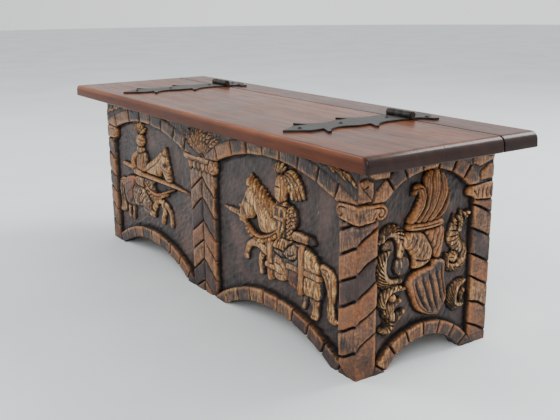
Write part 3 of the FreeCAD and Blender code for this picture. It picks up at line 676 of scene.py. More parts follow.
front.carve([(857, 160), (859, 175), (880, 192), (888, 193), (888, 161)], 10.5, 9, 0.3, 0.15, foot=7)
front.grooves(([(914, 192), (921, 184)], [(926, 192), (937, 183)], [(912, 178), (920, 171)],
               [(928, 178), (938, 171)], [(940, 176), (945, 168)], [(920, 168), (930, 164)],
               [(914, 142), (918, 128)], [(926, 144), (929, 131)], [(938, 143), (941, 128)],
               [(920, 128), (922, 118)], [(934, 126), (936, 116)]), 4.5, 1.8, 0.8)
front.rib([(852, 153), (897, 154), (950, 155)], (10, 12, 11), 11, 0.65, 0.35, 0.8, 8)
front.rib([(897, 200), (897, 158), (894, 113)], (17, 17, 15), 12, 0.75, 0.3, 0.8, 8)
front.grooves([[(860 + 10.3 * k, 127), (861 + 10.3 * k, 118), (861 + 10.3 * k, 111)] for k in range(9)], 4, 4)
front.carve([(807, 162), (828, 162), (847, 148), (852, 134), (838, 118), (810, 116), (804, 138)], 10.5, 12,
            0.6, 0.2, foot=6)
front.grooves(([(807, 148), (828, 148), (843, 138)], [(807, 132), (824, 129), (840, 132)]), 4, 3)
front.rib([(792, 182), (792, 148), (792, 114)], (15, 16, 15), 12, 0.8, 0.25, foot=7)
front.rib([(780, 137), (805, 136)], (11, 11), 12, 0.8, 0.25, foot=7)
front.rib([(772, 160), (759, 151), (752, 136), (757, 113)], (22, 15, 11, 13), 8, 0.5)
front.rib([(774, 162), (753, 168), (729, 167), (710, 158), (701, 143), (696, 130)], (22, 20, 17, 14, 11, 15),
          (10, 10, 9.5, 8, 7, 6), 0.75)
front.groove([(696, 139), (706, 137)], 3, 2.5)
front.carve([(868, 224), (914, 225), (929, 219), (916, 209), (868, 207)], 9.5, 8, 0.5, 0.35)
front.carve([(921, 226), (934, 223), (933, 212), (918, 208)], 7, 5, 0.05, dark=0.8)
front.rib([(807, 172), (834, 170), (862, 193), (890, 201)], (9, 14, 16, 7), 8, 0.2, 0.2)
front.carve([(821, 265), (862, 266), (863, 234), (860, 202), (817, 200), (814, 238)], 9, 10, 0.4)
front.carve([(818, 201), (841, 204), (863, 204), (858, 192), (856, 178), (824, 177), (801, 179)], 10.5, 7,
            0.65)
front.grooves([[(826 + 7.6 * k, 201), (820 + 7.9 * k, 189), (813 + 9 * k, 177)] for k in range(5)], 4.5, 5)
front.carve([(852, 191), (876, 200), (886, 184), (879, 170), (859, 164), (841, 169), (837, 174)], 10.5, 10,
            0.4, 0.1)
front.groove([(848, 173), (864, 175), (879, 184)], 4, 3)
# painted shade: the hollow under the horse's jaw, sunk a little and stained almost black
front.carve([(719, 212), (738, 221), (749, 207), (753, 197), (731, 197)], 0.5, 4, 0, moat=0, foot=-1.5,
            dark=0.9)
front.carve([(713, 296), (720, 286), (738, 278), (759, 267), (779, 256), (795, 245), (809, 237), (819, 224),
             (818, 212), (807, 204), (786, 198), (759, 197), (749, 207), (745, 220), (740, 227), (734, 224),
             (724, 216), (710, 213), (701, 207), (699, 198), (688, 200), (678, 200), (673, 209), (667, 213),
             (670, 221), (678, 227), (683, 238), (692, 251), (701, 267), (708, 276), (710, 286)], 11.5, 24,
            0.85, 0.1, foot=3)
front.groove([(734, 249), (739, 237), (739, 224)], 8, 6)
front.carve([(710, 247), (728, 245), (734, 235), (728, 224), (714, 219), (703, 228), (704, 240)], 11.8, 9,
            0.85, 0.1, 0.8, 8)
front.carve([(699, 252), (705, 257), (712, 253), (705, 248)], 10, 3, 0.2, foot=7, dark=0.75)
front.groove([(697, 258), (705, 261), (713, 257)], 3, 2.5)
front.groove([(672, 207), (685, 209), (697, 205)], 4, 4)
front.carve([(676, 220), (681, 222), (683, 218), (679, 216)], 6, 2, 0.1, moat=0.2, foot=5, dark=0.9)
front.rib([(685, 237), (697, 228), (701, 209)], (5, 5, 5), 11.5, 0.5, 0.5, 0.8, 8)
front.grooves(([(752, 258), (772, 241), (797, 224)], [(745, 241), (765, 224), (793, 212)],
               [(755, 265), (779, 250), (807, 229)], [(752, 220), (769, 208), (786, 205)]), 4, 1.3, 0.4)
mane_foot = drawn([(722, 287), (738, 280), (759, 269), (779, 258), (795, 247), (808, 239)])
for u0, z0 in mane_foot[np.linspace(0, len(mane_foot) - 1, 11).round().astype(int)]:
    front.rib([(u0 + 5, z0 - 9), (u0 + 1, z0 + 6), (u0 + 1, z0 + 20)], (5, 5.5, 1.5), (11.8, 11, 7), 0.85,
              moat=2.6)
front.carve([(710, 281), (709, 291), (714, 299), (719, 291), (721, 281)], 10.5, 6, 0.55)
front.rib([(705, 200), (719, 191), (738, 185), (759, 185), (779, 192), (797, 199), (814, 210)],
          (6, 8, 8, 8, 8, 8, 6), 10.5, 0.55, 0.5)
front.beads([(709, 192), (719, 184), (738, 178), (759, 178), (779, 184), (797, 192), (810, 200)], 4, 4.4,
            0.95)
sleeve = [(848, 266), (864, 270), (876, 259), (877, 238), (867, 224), (863, 206), (848, 204), (846, 224),
          (846, 248)]
front.carve(sleeve, 10.5, 10, 0.45)
front.hatch(sleeve, 0.5, 6.5, 2.6)
front.hatch(sleeve, 2.2, 6.5, 2.6)
front.carve([(817, 273), (842, 275), (849, 266), (815, 263)], 10, 6, 0.5)
front.groove([(817, 269), (845, 270)], 3, 2.4)
front.carve([(807, 263), (808, 263), (828, 265), (848, 263), (848, 262), (847, 238), (841, 220), (826, 199),
             (825, 199), (813, 220), (806, 238)], 12, 3.5, 0.75, 0.1, 1.6)
front.carve([(812, 258), (828, 260), (843, 258), (842, 238), (837, 222), (826, 207), (818, 222),
             (811, 238)], 9.2, 3, 0.45, 0.2, 0, 9.6, dark=0.3)
front.rib([(829, 257), (827, 234), (826, 210)], (7, 7, 6), 11.5, 0.85, 0.15, 0.7, 9)
front.rib([(813, 240), (828, 240), (841, 240)], (6.5, 7, 6.5), 11.5, 0.85, 0.15, 0.7, 9)
for tip, bow in (((806, 334), (814, 328)), ((811, 343), (817, 334)), ((820, 347), (823, 336)),
                 ((831, 346), (830, 336)), ((842, 341), (837, 333)), ((850, 333), (843, 329))):
    front.rib([(829, 318), bow, tip], (8, 8, 3), (10.5, 9.5, 6), 0.5, 0.1, 1.5)
for bow, low, tip in (((862, 333), (887, 316), (899, 292)), ((858, 327), (878, 311), (887, 287)),
                      ((854, 320), (868, 305), (875, 285)), ((849, 314), (858, 300), (862, 284))):
    front.rib([(836, 322), bow, low, tip], (8, 12, 11, 4), (11, 10.5, 9, 6), 0.5, 0.1, 1.6)
    front.groove([(840, 322), bow, low, tip], 2.6, 3)
front.carve([(813, 276), (810, 288), (811, 303), (818, 319), (830, 326), (841, 318), (846, 302), (845, 286),
             (839, 274), (826, 269)], 12, 11, 0.7, 0.3, 1.8)
front.groove([(809, 300), (821, 301), (833, 301)], 4.5, 4.5)
front.groove([(832, 324), (836, 300), (833, 272)], 3, 3)
front.grooves([[(u0 - 1.4, z0), (u0 + 1.4, z0)] for u0, z0 in ((815, 292), (821, 291), (827, 291),
                                                               (818, 286), (824, 285))], 4, 3)

# Front board, the left rider, facing right: tail and hind legs, the horse's cloth and forelegs, the rider's
# leg and skirt, then chest, neck, head and rein, and last the rider, the lance and the arm that holds it.
front.carve([(88, 180), (69, 180), (54, 170), (51, 144), (57, 117), (54, 100), (48, 87), (66, 84), (82, 93),
             (78, 117), (74, 144), (81, 162)], 7.5, 10, 0.4)
front.grooves(([(84, 175), (66, 171), (61, 144), (66, 113), (61, 89)],
               [(84, 170), (71, 163), (68, 141), (72, 113), (71, 91)],
               [(83, 178), (60, 174), (56, 144), (61, 115), (55, 89)]), 3.2, 3)
front.rib([(114, 120), (108, 101), (110, 82)], (17, 11, 13), 7.5, 0.45)
front.rib([(133, 122), (135, 101), (130, 82)], (17, 11, 13), 6.5, 0.35)
front.carve([(87, 158), (92, 178), (114, 192), (148, 197), (179, 193), (214, 182), (238, 169), (266, 160),
             (266, 116), (241, 113), (207, 129), (179, 122), (152, 119), (114, 113), (92, 122)], 9, 18,
            0.32, 0.3)
front.carve([(88, 159), (94, 178), (114, 190), (148, 196), (161, 188), (152, 171), (142, 158), (139, 136),
             (116, 118), (94, 126)], 10.8, 16, 0.6, 1.0, foot=5)
front.grooves(([(103, 165), (124, 176), (148, 182)], [(107, 138), (121, 151), (138, 162)]), 4, 1.6, 0.4)
saddle_cloth = [(145, 163), (162, 175), (186, 171), (197, 158), (181, 129), (157, 122), (143, 136)]
front.carve(saddle_cloth, 10, 12, 0.4, foot=5)
front.hatch(saddle_cloth, 1.0, 11, 2, 0.5)
front.carve([(209, 164), (241, 165), (266, 158), (266, 114), (257, 118), (249, 112), (240, 118), (231, 112),
             (221, 118), (208, 121)], 11, 7, 0.5, foot=5)
front.carve([(243, 154), (254, 148), (257, 137), (249, 127), (237, 127), (230, 136), (232, 148)], 12, 9,
            0.65, moat=0.8, foot=9)
petals = [(math.cos(k * 2 * math.pi / 7), math.sin(k * 2 * math.pi / 7)) for k in range(7)]
front.grooves([[(243 + 3.1 * a, 140 + 3.1 * b), (243 + 12.4 * a, 140 + 12.4 * b)] for a, b in petals], 3.4, 3)
front.rib([(322, 156), (341, 150), (355, 137), (356, 113)], (18, 15, 12, 15), 7.5, 0.5)
front.rib([(264, 139), (274, 154), (295, 162), (314, 158), (319, 137), (308, 111)], (22, 20, 17, 16, 13, 16),
          (9, 10, 10, 9.5, 8.5, 8), 0.8)
front.groove([(303, 120), (314, 119)], 3, 2.4)
front.carve([(179, 193), (207, 194), (228, 182), (232, 164), (214, 150), (193, 136), (178, 135), (186, 154),
             (201, 165), (186, 175)], 11, 8, 0.6, 0.1)
front.grooves(([(193, 148), (207, 160), (221, 170)], [(186, 139), (190, 148)]), 4, 3)
front.carve([(168, 200), (221, 202), (229, 178), (207, 177), (175, 177), (164, 184)], 10.5, 7, 0.45, 0.1)
front.grooves([[(174 + 9.3 * k, 200), (172 + 10 * k, 178)] for k in range(6)], 4.5, 4)
chest_hair = [(219, 207), (272, 206), (268, 186), (278, 175), (276, 158), (262, 148), (238, 162), (219, 179)]
front.carve(chest_hair, 9, 10, 0.45, 0.1)
front.hatch(chest_hair, 0.6, 9, 2.2, 0.5)
# painted shade: the hollow under the horse's neck and jaw, sunk a little and stained almost black
front.carve([(267, 198), (283, 205), (310, 207), (329, 198), (317, 185), (293, 182), (272, 187)], 0.5, 5, 0,
            moat=0, foot=-1.5, dark=0.9)
front.carve([(225, 224), (241, 234), (269, 250), (297, 265), (317, 282), (340, 296), (346, 282), (352, 262),
             (361, 241), (364, 224), (361, 216), (348, 216), (336, 223), (326, 233), (321, 240), (312, 232),
             (301, 222), (262, 220), (234, 220)], 11.3, 20, 0.8, 0.1, foot=3)
front.groove([(299, 251), (297, 238), (299, 222)], 9, 6.5)
front.rib([(228, 228), (262, 246), (297, 263), (322, 281)], (9, 13, 13, 9), 12, 0.85, foot=8)
front.grooves([[(232.8 + 8.45 * k, 226.6 + 4.83 * k), (234.2 + 8.45 * k, 234.2 + 4.83 * k),
                (233.5 + 8.45 * k, 239.7 + 4.83 * k)] for k in range(11)], 3.4, 3)
front.carve([(332, 282), (334, 290), (340, 300), (345, 289), (345, 280)], 10.5, 6, 0.6)
front.carve([(336, 258), (343, 261), (348, 256), (341, 253)], 10, 3, 0.2, foot=7, dark=0.75)
front.groove([(350, 223), (359, 227), (364, 228)], 3.5, 3.5)
front.rib([(322, 247), (340, 241), (359, 238)], (5, 5, 5), 11.8, 0.5, 0.5, 0.8, 8)
front.rib([(224, 193), (238, 183), (255, 176), (279, 173), (300, 176), (321, 184), (345, 193), (377, 204)],
          (7, 9, 9, 9, 9, 8, 6, 3), 10.5, 0.6, 0.5)
front.beads([(230, 180), (255, 168), (279, 165), (300, 169), (321, 178), (345, 187)], 4, 4.4, 0.95)
front.carve([(220, 267), (231, 267), (233, 237), (221, 234)], 8.5, 6, 0.25)
jerkin = [(175, 248), (179, 264), (192, 271), (209, 271), (217, 262), (218, 222), (208, 218), (181, 219)]
front.carve(jerkin, 11, 12, 0.6, 0.3)
front.hatch(jerkin, 1.35, 9, 1.6, 0.4)
front.carve([(186, 282), (212, 282), (214, 270), (209, 265), (188, 265)], 10.5, 7, 0.5)
for tip, bow in (((166, 326), (180, 322)), ((175, 336), (186, 326)), ((188, 342), (193, 328)),
                 ((203, 343), (202, 329)), ((217, 339), (211, 326)), ((228, 330), (217, 321))):
    front.rib([(199, 309), bow, tip], (7, 8, 2.5), (10, 9.5, 6), 0.55, 0.1, 1.5)
front.carve([(180, 292), (183, 305), (193, 312), (208, 314), (218, 309), (222, 298), (216, 287), (207, 281),
             (196, 281), (186, 285)], 12, 12, 0.75, 0.25, 1.6)
front.groove([(198, 301), (211, 300), (223, 298)], 4.5, 4.5)
front.groove([(195, 312), (193, 298), (197, 282)], 3, 3)
front.grooves([[(u0 - 1.4, z0), (u0 + 1.4, z0)] for u0, z0 in ((203, 292), (210, 291), (207, 287))], 4, 3)
front.rib([(88, 222), (145, 219), (207, 211), (366, 213), (452, 209)], (9, 10, 12, 9, 2.5),
          (8, 10, 12, 11, 4), 0.7, 0.3)
front.rib([(183, 261), (162, 252), (152, 235), (161, 221), (179, 213)], (18, 16, 14, 12, 12), 11.8, 0.6,
          0.4, 1.5)
front.carve([(165, 220), (207, 219), (209, 205), (166, 206)], 12, 5, 0.6, 0.25, 1.5)
front.grooves(([(174, 219), (173, 206)], [(199, 218), (200, 206)]), 3, 2.6)

# Front board, finished: knife marks, glaze and painted shade over the whole face, then the board itself,
# mitred at both ends to meet the end boards.
front.dress()
front_mesh = carved_board("carved_front", front, ((corner_round, True), (corner_round, True)),
                          triangles=185000, back_reach=(board_thickness, body_length - board_thickness))
set_board(front_mesh, Matrix.Translation((-body_length / 2 * MM, front_face_y * MM, 0)))
carved_front_finish = carved_finish("carved_front_finish", streak=(1.0, 0.3, 0.14), lean=(0.0, 0.5, 0.0))
carved_front = place_piece("carved_front", front_mesh, carved_front_finish, "carcass")
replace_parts(carved_front, "front_panel")

# End boards: shorter planks of the same softwood, mitred to the front and glazed with it, carved with a
# plumed helm over a fluted shield among scrolls of leaves. The left one is the mirror of the right one.
end_length, end_span, end_rise, end_brick = 322.0, 186.0, 47.0, 25.0
end_middle = end_length / 2
end_radius = (end_span ** 2 / 4 + end_rise ** 2) / (2 * end_rise)
end_face_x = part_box("right_end_panel")[1][0] / MM
rear_round = 3.0


def end_lower_edge(u):
    fall = np.clip(end_radius ** 2 - (u - end_middle) ** 2, 0, None)
    return np.clip(np.sqrt(fall) + end_rise - end_radius, 0, None)


end = Carving(end_length, end_lower_edge, pitch=1.2, trimmed=(corner_trim, 0))
u, z = end.u, end.z
end.clear_ground(long=20, wide=8, lean=0.9, seed=12)
frame_gap = np.full_like(u, 99.0)
wander = 5 * np.clip(u / 12, 0, 1) * (unevenness(u, z, 25, 40, 23) - 0.5)
for low, high, along, seed in ((-9, 47, z - joint_slope * corner_column - 0.55 * u, 15),
                               (276, 331, z - 12 + 0.5 * (u - 276), 18)):
    inset = np.minimum(u - low, high - u) + 1.5 * (unevenness(u, z, 16, 30, 21) - 0.5)
    frame_gap = np.minimum(frame_gap, np.maximum(-inset, 0))
    end.stones((inset > 0) & (z < 320), inset, along + wander, corner_joints, gold=0.46, red=0.54, soften=12,
               dip=3.2, gap=1.9, seed=seed)

# End boards, the arch over the field with the blocks beside it, and the bricks round the foot arch: all are
# left standing and parted by cut joints.
left, right, spring, rise, ring = 62, 260, 313, 42, 30
half, middle = (right - left) / 2, (left + right) / 2
radius = (half ** 2 + rise ** 2) / (2 * rise)
reach = np.hypot(u - middle, z - (spring + rise - radius)) + 1.4 * (unevenness(u, z, 30, 30, 31) - 0.5)
spandrel = (reach > radius + ring - 2) & (z > spring - 2)
end.level[spandrel] = carving_depth - 3.5
end.gold[spandrel] = 0.35
end.dark[spandrel] = 0.35
inset = np.minimum(reach - radius, radius + ring - reach)
along = np.arctan2(u - middle, z - (spring + rise - radius)) * (radius + ring / 2)
end.stones((z > spring) & (inset > 0), inset, along, (-95, -58, -16, 24, 63, 100), gold=0.52, red=0.5,
           soften=9, dip=2.6, gap=2.0, seed=22)
frame_gap = np.where(z > spring - 14, np.minimum(frame_gap, np.maximum(radius - reach, 0)), frame_gap)
for outline in ([(-6, 316), (32, 316), (37, 328), (36, 350), (20, 358), (-6, 352)],
                [(26, 359), (40, 352), (70, 352), (74, 384), (30, 384)],
                [(286, 318), (330, 318), (330, 350), (306, 346), (290, 336)],
                [(268, 352), (286, 344), (330, 356), (330, 384), (270, 384)]):
    end.carve(outline, 12, 8, 0.6, 0.45, foot=6, sharp=True)
end.grooves(([(4, 350), (20, 332), (34, 318)], [(12, 340), (24, 346)],
             [(288, 372), (306, 362), (326, 366)]), 3, 3)
reach = np.hypot(u - end_middle, z - end_rise + end_radius) + 1.2 * (unevenness(u, z, 30, 30, 41) - 0.5)
along = np.arctan2(u - end_middle, z - end_rise + end_radius) * (end_radius + end_brick / 2)
inset = np.minimum(reach - end_radius + 4, end_radius + end_brick - reach)
end.stones(inset > 0, inset, along, np.arange(-5, 6) * 38.5 - 2, gold=0.48, red=0.5, soften=4.5, dip=1.5,
           gap=1.8, seed=25)
frame_gap = np.minimum(frame_gap, np.maximum(reach - end_radius - end_brick, 0))
# painted shadow of the framing stones on the ground of the field
end.shade_beside(frame_gap)

# End boards, the capitals: the other half of the corner scroll at the front, and a fluted knop at the rear,
# both left standing to the board's full thickness.
end.carve([(-8, 312), (50, 312), (64, 306), (68, 295), (62, 284), (50, 281), (42, 286), (36, 280),
           (-8, 280)], 12, 6, 0.6, 0.4)
end.groove([(10, 305), (52, 304), (59, 294), (51, 288), (46, 294), (51, 298)], 3.6, 4.5)
end.groove([(30, 283), (36, 292), (40, 300)], 3, 3)
end.carve([(330, 312), (272, 311), (259, 304), (260, 294), (274, 288), (286, 281), (330, 281)], 12, 7, 0.6,
          0.4)
end.grooves([[(284 + 11 * k, 306), (282 + 11 * k, 296), (284 + 11 * k, 284)] for k in range(4)], 4, 3.5)
end.groove([(268, 303), (275, 298), (280, 290)], 3.4, 4)


# End boards, the scrolls of leaves: each a curling stem round a boss, slashed across with oblique cuts that
# leave its lobes standing.
def leaf_scroll(points, widths, top, lobes, gold, curl=-1):
    end.rib(points, widths, top, gold, 0.08, 1.4)
    path = drawn(points)
    share = np.linspace(0, 1, len(path))
    cuts = round(1.5 * lobes)
    for k in range(cuts):
        s = (k + 0.5) / (cuts + 0.2)
        here, ahead = (np.array([np.interp(t, share, path[:, i]) for i in (0, 1)]) for t in (s, s + 0.01))
        run = (ahead - here) / np.linalg.norm(ahead - here)
        out = curl * np.array((-run[1], run[0]))
        half = np.interp(s, np.linspace(0, 1, len(widths)), widths) / 2
        start = here + half * (1.5 * run - 0.8 * out)
        tip = here + half * (1.15 * out - 1.1 * run)
        end.groove([start, (start + tip) / 2 + 0.3 * half * (out + run), tip], 3.6, 5.2, 0.95)


def boss(u, z, size, gold, dark=0.0):
    # a round knob
    ring_of = [(u + size * math.cos(k * math.pi / 4), z + size * math.sin(k * math.pi / 4)) for k in range(8)]
    end.carve(ring_of, 10, size, gold, 0.1, dark=dark)


leaf_scroll([(101, 207), (104, 229), (96, 249), (80, 257), (64, 251), (55, 240)], (10, 20, 24, 22, 18, 7),
            10.8, 8, 0.36)
boss(74, 229, 13, 0.16, 0.3)
leaf_scroll([(74, 222), (62, 210), (58, 190), (65, 170), (82, 160), (103, 163)], (8, 22, 28, 26, 20, 8),
            10.8, 9, 0.36)
boss(107, 189, 18, 0.15, 0.2)
leaf_scroll([(112, 147), (92, 150), (72, 143), (63, 128), (70, 114)], (7, 15, 19, 18, 8), 9.8, 7, 0.36)
leaf_scroll([(103, 127), (88, 122), (79, 108), (83, 92), (75, 78), (60, 80)], (8, 20, 26, 28, 24, 8), 10.4,
            10, 0.36)
leaf_scroll([(112, 104), (100, 96), (93, 82)], (8, 15, 6), 9.0, 5, 0.4)
boss(87, 133, 8, 0.45)
leaf_scroll([(266, 262), (250, 252), (236, 238), (232, 222), (240, 206), (254, 192), (258, 178), (248, 164),
             (229, 162), (214, 172), (215, 188)],
            (5, 22, 30, 32, 30, 25, 20, 18, 16, 12, 7), 11, 17, 0.36, 1)
leaf_scroll([(243, 232), (249, 248), (247, 266)], (9, 13, 4), 10.5, 5, 0.5)
leaf_scroll([(231, 236), (233, 250), (229, 261)], (9, 11, 4), 9.5, 4, 0.45)
boss(233, 182, 11, 0.55)
end.grooves([[(233 + 3 * math.cos(k * math.pi / 3), 182 + 3 * math.sin(k * math.pi / 3)),
              (233 + 11 * math.cos(k * math.pi / 3), 182 + 11 * math.sin(k * math.pi / 3))]
             for k in range(6)], 3.6, 3.5)
leaf_scroll([(262, 131), (245, 124), (236, 110), (236, 94), (246, 82), (260, 84)], (6, 19, 24, 24, 18, 7),
            10, 9, 0.34)
leaf_scroll([(262, 112), (254, 102), (256, 92)], (6, 12, 6), 9, 4, 0.4)

# End boards, the crest: a fluted shield, a closed helm with its mantle, a wreath and a plume of curling
# feathers, each feather a rounded rib with a cut quill.
end.carve([(117, 152), (128, 168), (144, 174), (172, 178), (178, 188), (206, 182), (208, 152), (214, 122),
           (213, 105), (195, 81), (189, 80), (167, 85), (144, 99), (133, 119), (124, 140)], 12, 6, 0.4, 0.5,
          1.8)
end.grooves(([(134, 160), (146, 128), (166, 94)], [(150, 165), (164, 129), (179, 90)],
             [(166, 169), (179, 134), (191, 89)], [(182, 174), (194, 139), (203, 100)],
             [(196, 173), (204, 141), (209, 112)]), 10, 5.5, 0.75)
end.groove([(128, 152), (139, 119), (156, 97), (178, 86), (192, 86), (206, 105)], 3, 2.5)
end.carve([(106, 241), (125, 249), (144, 246), (167, 230), (179, 208), (170, 185), (150, 178), (130, 180),
           (131, 197), (119, 216), (107, 221)], 11.5, 14, 0.6, 0.25, 1.6)
end.grooves([[(112 + 8.9 * k, 219 - 6.7 * k), (122 + 8.9 * k, 230 - 6.1 * k), (128 + 8.3 * k, 244 - 6.1 * k)]
             for k in range(5)], 4, 3.5)
end.groove([(132, 197), (151, 191), (171, 191)], 4.5, 4)
mantle = [(163, 244), (200, 247), (205, 230), (202, 208), (196, 188), (184, 191), (173, 213), (164, 228)]
end.carve(mantle, 11.5, 12, 0.6, 0.55, 1.6)
end.hatch(mantle, 1.25, 10, 2.6, 0.6)
for feather, widths in (([(182, 264), (199, 278), (208, 296), (209, 316)], (10, 16, 15, 5)),
                        ([(168, 264), (188, 284), (199, 306), (198, 328), (191, 345)], (12, 18, 21, 18, 7)),
                        ([(154, 265), (172, 288), (181, 314), (181, 338), (180, 351)], (12, 18, 21, 19, 8)),
                        ([(140, 266), (156, 288), (162, 312), (161, 338), (166, 350)], (12, 17, 19, 17, 8)),
                        ([(124, 266), (141, 284), (150, 304), (147, 321), (135, 326), (128, 315)],
                         (13, 18, 17, 14, 11, 5))):
    end.rib(feather, widths, 11.6, 0.9, 0.45, 1.6)
    end.groove(feather, 3.4, 4)
    for shift in (-4.5, 4.5):
        end.groove([(u0 + shift, z0 - 2) for u0, z0 in feather[1:]], 2.6, 2.6)
end.carve([(118, 262), (156, 260), (195, 262), (197, 250), (156, 247), (119, 251)], 12, 6, 0.6, 0.4, 1.4)
end.groove([(119, 257), (156, 254), (196, 256)], 3.4, 3)

# End boards, finished: knife marks, glaze and painted shade, then the two boards. The front edge is mitred to
# the front board, and the rear edge is square and covers the end of the back board.
end.dress()
end_mesh = carved_board("carved_right_end", end, ((corner_round, True), (rear_round, False)),
                        triangles=95000, back_reach=(board_thickness, end_length))
left_mesh = end_mesh.copy()
left_mesh.name = "carved_left_end"
carved_end_finish = carved_finish("carved_end_finish", streak=(0.3, 1.0, 0.14), lean=(0.5, 0.0, 0.0))
for side, mesh in ((1, end_mesh), (-1, left_mesh)):
    name = "right_end" if side > 0 else "left_end"
    set_board(mesh, Matrix(((0, -side * 1.0, 0, side * end_face_x * MM), (1, 0, 0, front_face_y * MM),
                            (0, 0, 1, 0), (0, 0, 0, 1))))
    carved_end = place_piece("carved_" + name, mesh, carved_end_finish, "carcass")
    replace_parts(carved_end, name + "_panel")

# Back board: a plain plank that stands between the ends, sawn with the same two foot arches as the front.
# It is stained brown and left uncarved, since it stands against a wall.


def board_finish(name, run, light, deep, scuff, **fixed):
    # stained softwood in the round: rings drawn out along the board, pores, and cloudy patches in the stain
    material, shader, mixing = finish_named(name, **fixed)
    place = mixing.own_place()
    drawn_out = mixing.stretched(place, run, Rotation=(0.05, 0.03, 0.02))
    ring = mixing.node("ShaderNodeTexWave", {"bands_direction": "DIAGONAL"},
                       {"Vector": drawn_out, "Scale": 13.0, "Distortion": 9.0, "Detail": 3.0,
                        "Detail Scale": 1.4})
    ring = ring.part("Fac")
    fibre = mixing.speckle(drawn_out, 210.0, 3.0)
    cloud = mixing.speckle(place, 7.0, 4.0)
    pores = mixing.speckle(drawn_out, 520.0, 1.0).between(0.6, 0.72)
    tone = mixing.sum("ADD", ring * 0.42 + fibre * 0.5 + cloud * 0.5, -0.26, True)
    colour = tone.mix(deep, light)
    colour = (pores * 0.55).mix(colour, [0.35 * channel for channel in deep[:3]] + [1.0])
    feed(shader, Roughness=scuff + (cloud - 0.5) * 0.22 + (fibre - 0.5) * 0.2 + pores * 0.12)
    relief = ring * 0.3 + fibre * 0.5 - pores * 0.6
    feed(shader, Normal=mixing.bump(relief, 0.3, 0.0008))
    return material, shader, mixing, place, colour


def finish_node(node, material, arris=0.0, segments=2):
    # a piece kept as it was built: its finish, and its sharp edges eased
    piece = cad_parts[node]
    for holder in piece.material_slots:
        holder.material = material
    if arris:
        weld = piece.modifiers.new("joined", "WELD")
        weld.merge_threshold = 0.00001
        ease = piece.modifiers.new("arris", "BEVEL")
        ease.width = arris
        ease.segments = segments
        ease.limit_method = "ANGLE"
        ease.angle_limit = math.radians(40)
        ease.use_clamp_overlap = True


long_run, cross_run, upright_run = (0.06, 1.0, 1.0), (1.0, 0.06, 1.0), (1.0, 1.0, 0.06)
back_stain, back_shader, mixing, place, colour = board_finish(
    "back_stain", long_run, tint(128, 84, 54), tint(66, 41, 28), scuff=0.55)
scuffs = mixing.speckle(place, 3.5, 5.0).between(0.56, 0.74)
feed(back_shader, Base_Color=(scuffs * 0.35).mix(colour, tint(152, 112, 80)))
finish_node("back_panel", back_stain, arris=0.0016, segments=3)

# Inside the box: four glue blocks in the corners, four cleats round the walls and two loose bottom boards on
# them, all of plain wood that has only darkened with age.
inner_looks = {"long": long_run, "across": cross_run, "upright": upright_run}
inner_wood = {}
for grain, run in inner_looks.items():
    inner_wood[grain], inner_shader, mixing, place, colour = board_finish(
        "inner_wood_" + grain, run, tint(170, 126, 82), tint(112, 76, 46), scuff=0.62)
    dark_patches = mixing.speckle(place, 9.0, 5.0).between(0.5, 0.72)
    feed(inner_shader, Base_Color=(dark_patches * 0.5).mix(colour, tint(84, 62, 44)))
for corner in ("front_left", "front_right", "back_left", "back_right"):
    finish_node("corner_block_" + corner, inner_wood["upright"], arris=0.0015)
for wall, grain in (("front", "long"), ("back", "long"), ("left", "across"), ("right", "across")):
    finish_node("bottom_cleat_" + wall, inner_wood[grain], arris=0.001)
for half in ("front", "rear"):
    finish_node("bottom_board_" + half, inner_wood["long"], arris=0.0012)

# What holds the box together unseen: birch dowels across the back's joints and under the rail, countersunk
# screws through the cleats and flat-headed brads through the bottom boards.
dowel_finish, dowel_shader, mixing, place, colour = board_finish(
    "dowel_birch", long_run, tint(206, 172, 124), tint(166, 126, 82), scuff=0.6)
feed(dowel_shader, Base_Color=colour)
finish_node("back_joint_dowels", dowel_finish, arris=0.0008)
finish_node("rear_rail_dowels", dowel_finish, arris=0.0008)
steel, steel_shader, mixing = finish_named("dulled_steel", Metallic=0.85)
place = mixing.own_place()
dull = mixing.speckle(place, 240.0, 4.0)
rust = mixing.speckle(place, 60.0, 4.0).between(0.55, 0.7)
bare = dull.mix(tint(120, 116, 110), tint(164, 160, 152))
feed(steel_shader, Base_Color=(rust * 0.6).mix(bare, tint(98, 62, 40)))
feed(steel_shader, Roughness=0.34 + 0.2 * dull + 0.25 * rust)
feed(steel_shader, Normal=mixing.bump(dull, 0.15, 0.0002))
finish_node("bottom_cleat_screws", steel)
finish_node("bottom_board_brads", steel)

# Rear rail and lid boards: three boards sawn from one plank, so that the grain runs on over the gaps. The
# rail is dowelled to the back and the ends; the lid is two boards glued edge to edge. All are planed a little
# hollow by hand, stained red-brown, darkest at the ends and on the rail, and waxed.
rail_box, front_lid_box, rear_lid_box = map(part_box, ("rear_rail", "lid_board_front", "lid_board_rear"))
top_low, top_high = front_lid_box[0][2], front_lid_box[1][2]
top_half_length, top_front, top_back = front_lid_box[1][0], front_lid_box[0][1], rail_box[1][1]
rail_front, lid_back, glue_line = rail_box[0][1], rear_lid_box[1][1], rear_lid_box[0][1]
end_round, long_round, lower_round = 0.016, 0.0045, 0.0025
sawn_round, glued_round = 0.0011, 0.0005
ripple_across, ripple_along, ripple_count = 0.012, 0.03, 20
face_sink, edge_sink, end_sink, edge_zone = 0.0005, 0.0011, 0.0012, 0.012


def worn(x, y, seed):
    # how far a hand-planed face has sunk at a place, from 0 to 1
    low = noise.noise((x * 6.0 + seed, y * 11.0, seed))
    fine = noise.noise((x * 21.0, y * 30.0 + seed, 3.0))
    return min(max(0.5 + 0.6 * low + 0.3 * fine, 0.0), 1.0)


def ease_edges(piece, edges, radius, segments):
    # a round along edges, as a plane or a file leaves it
    bmesh.ops.bevel(piece, geom=edges, offset=radius, segments=segments, profile=0.5, affect="EDGES",
                    material=-1)


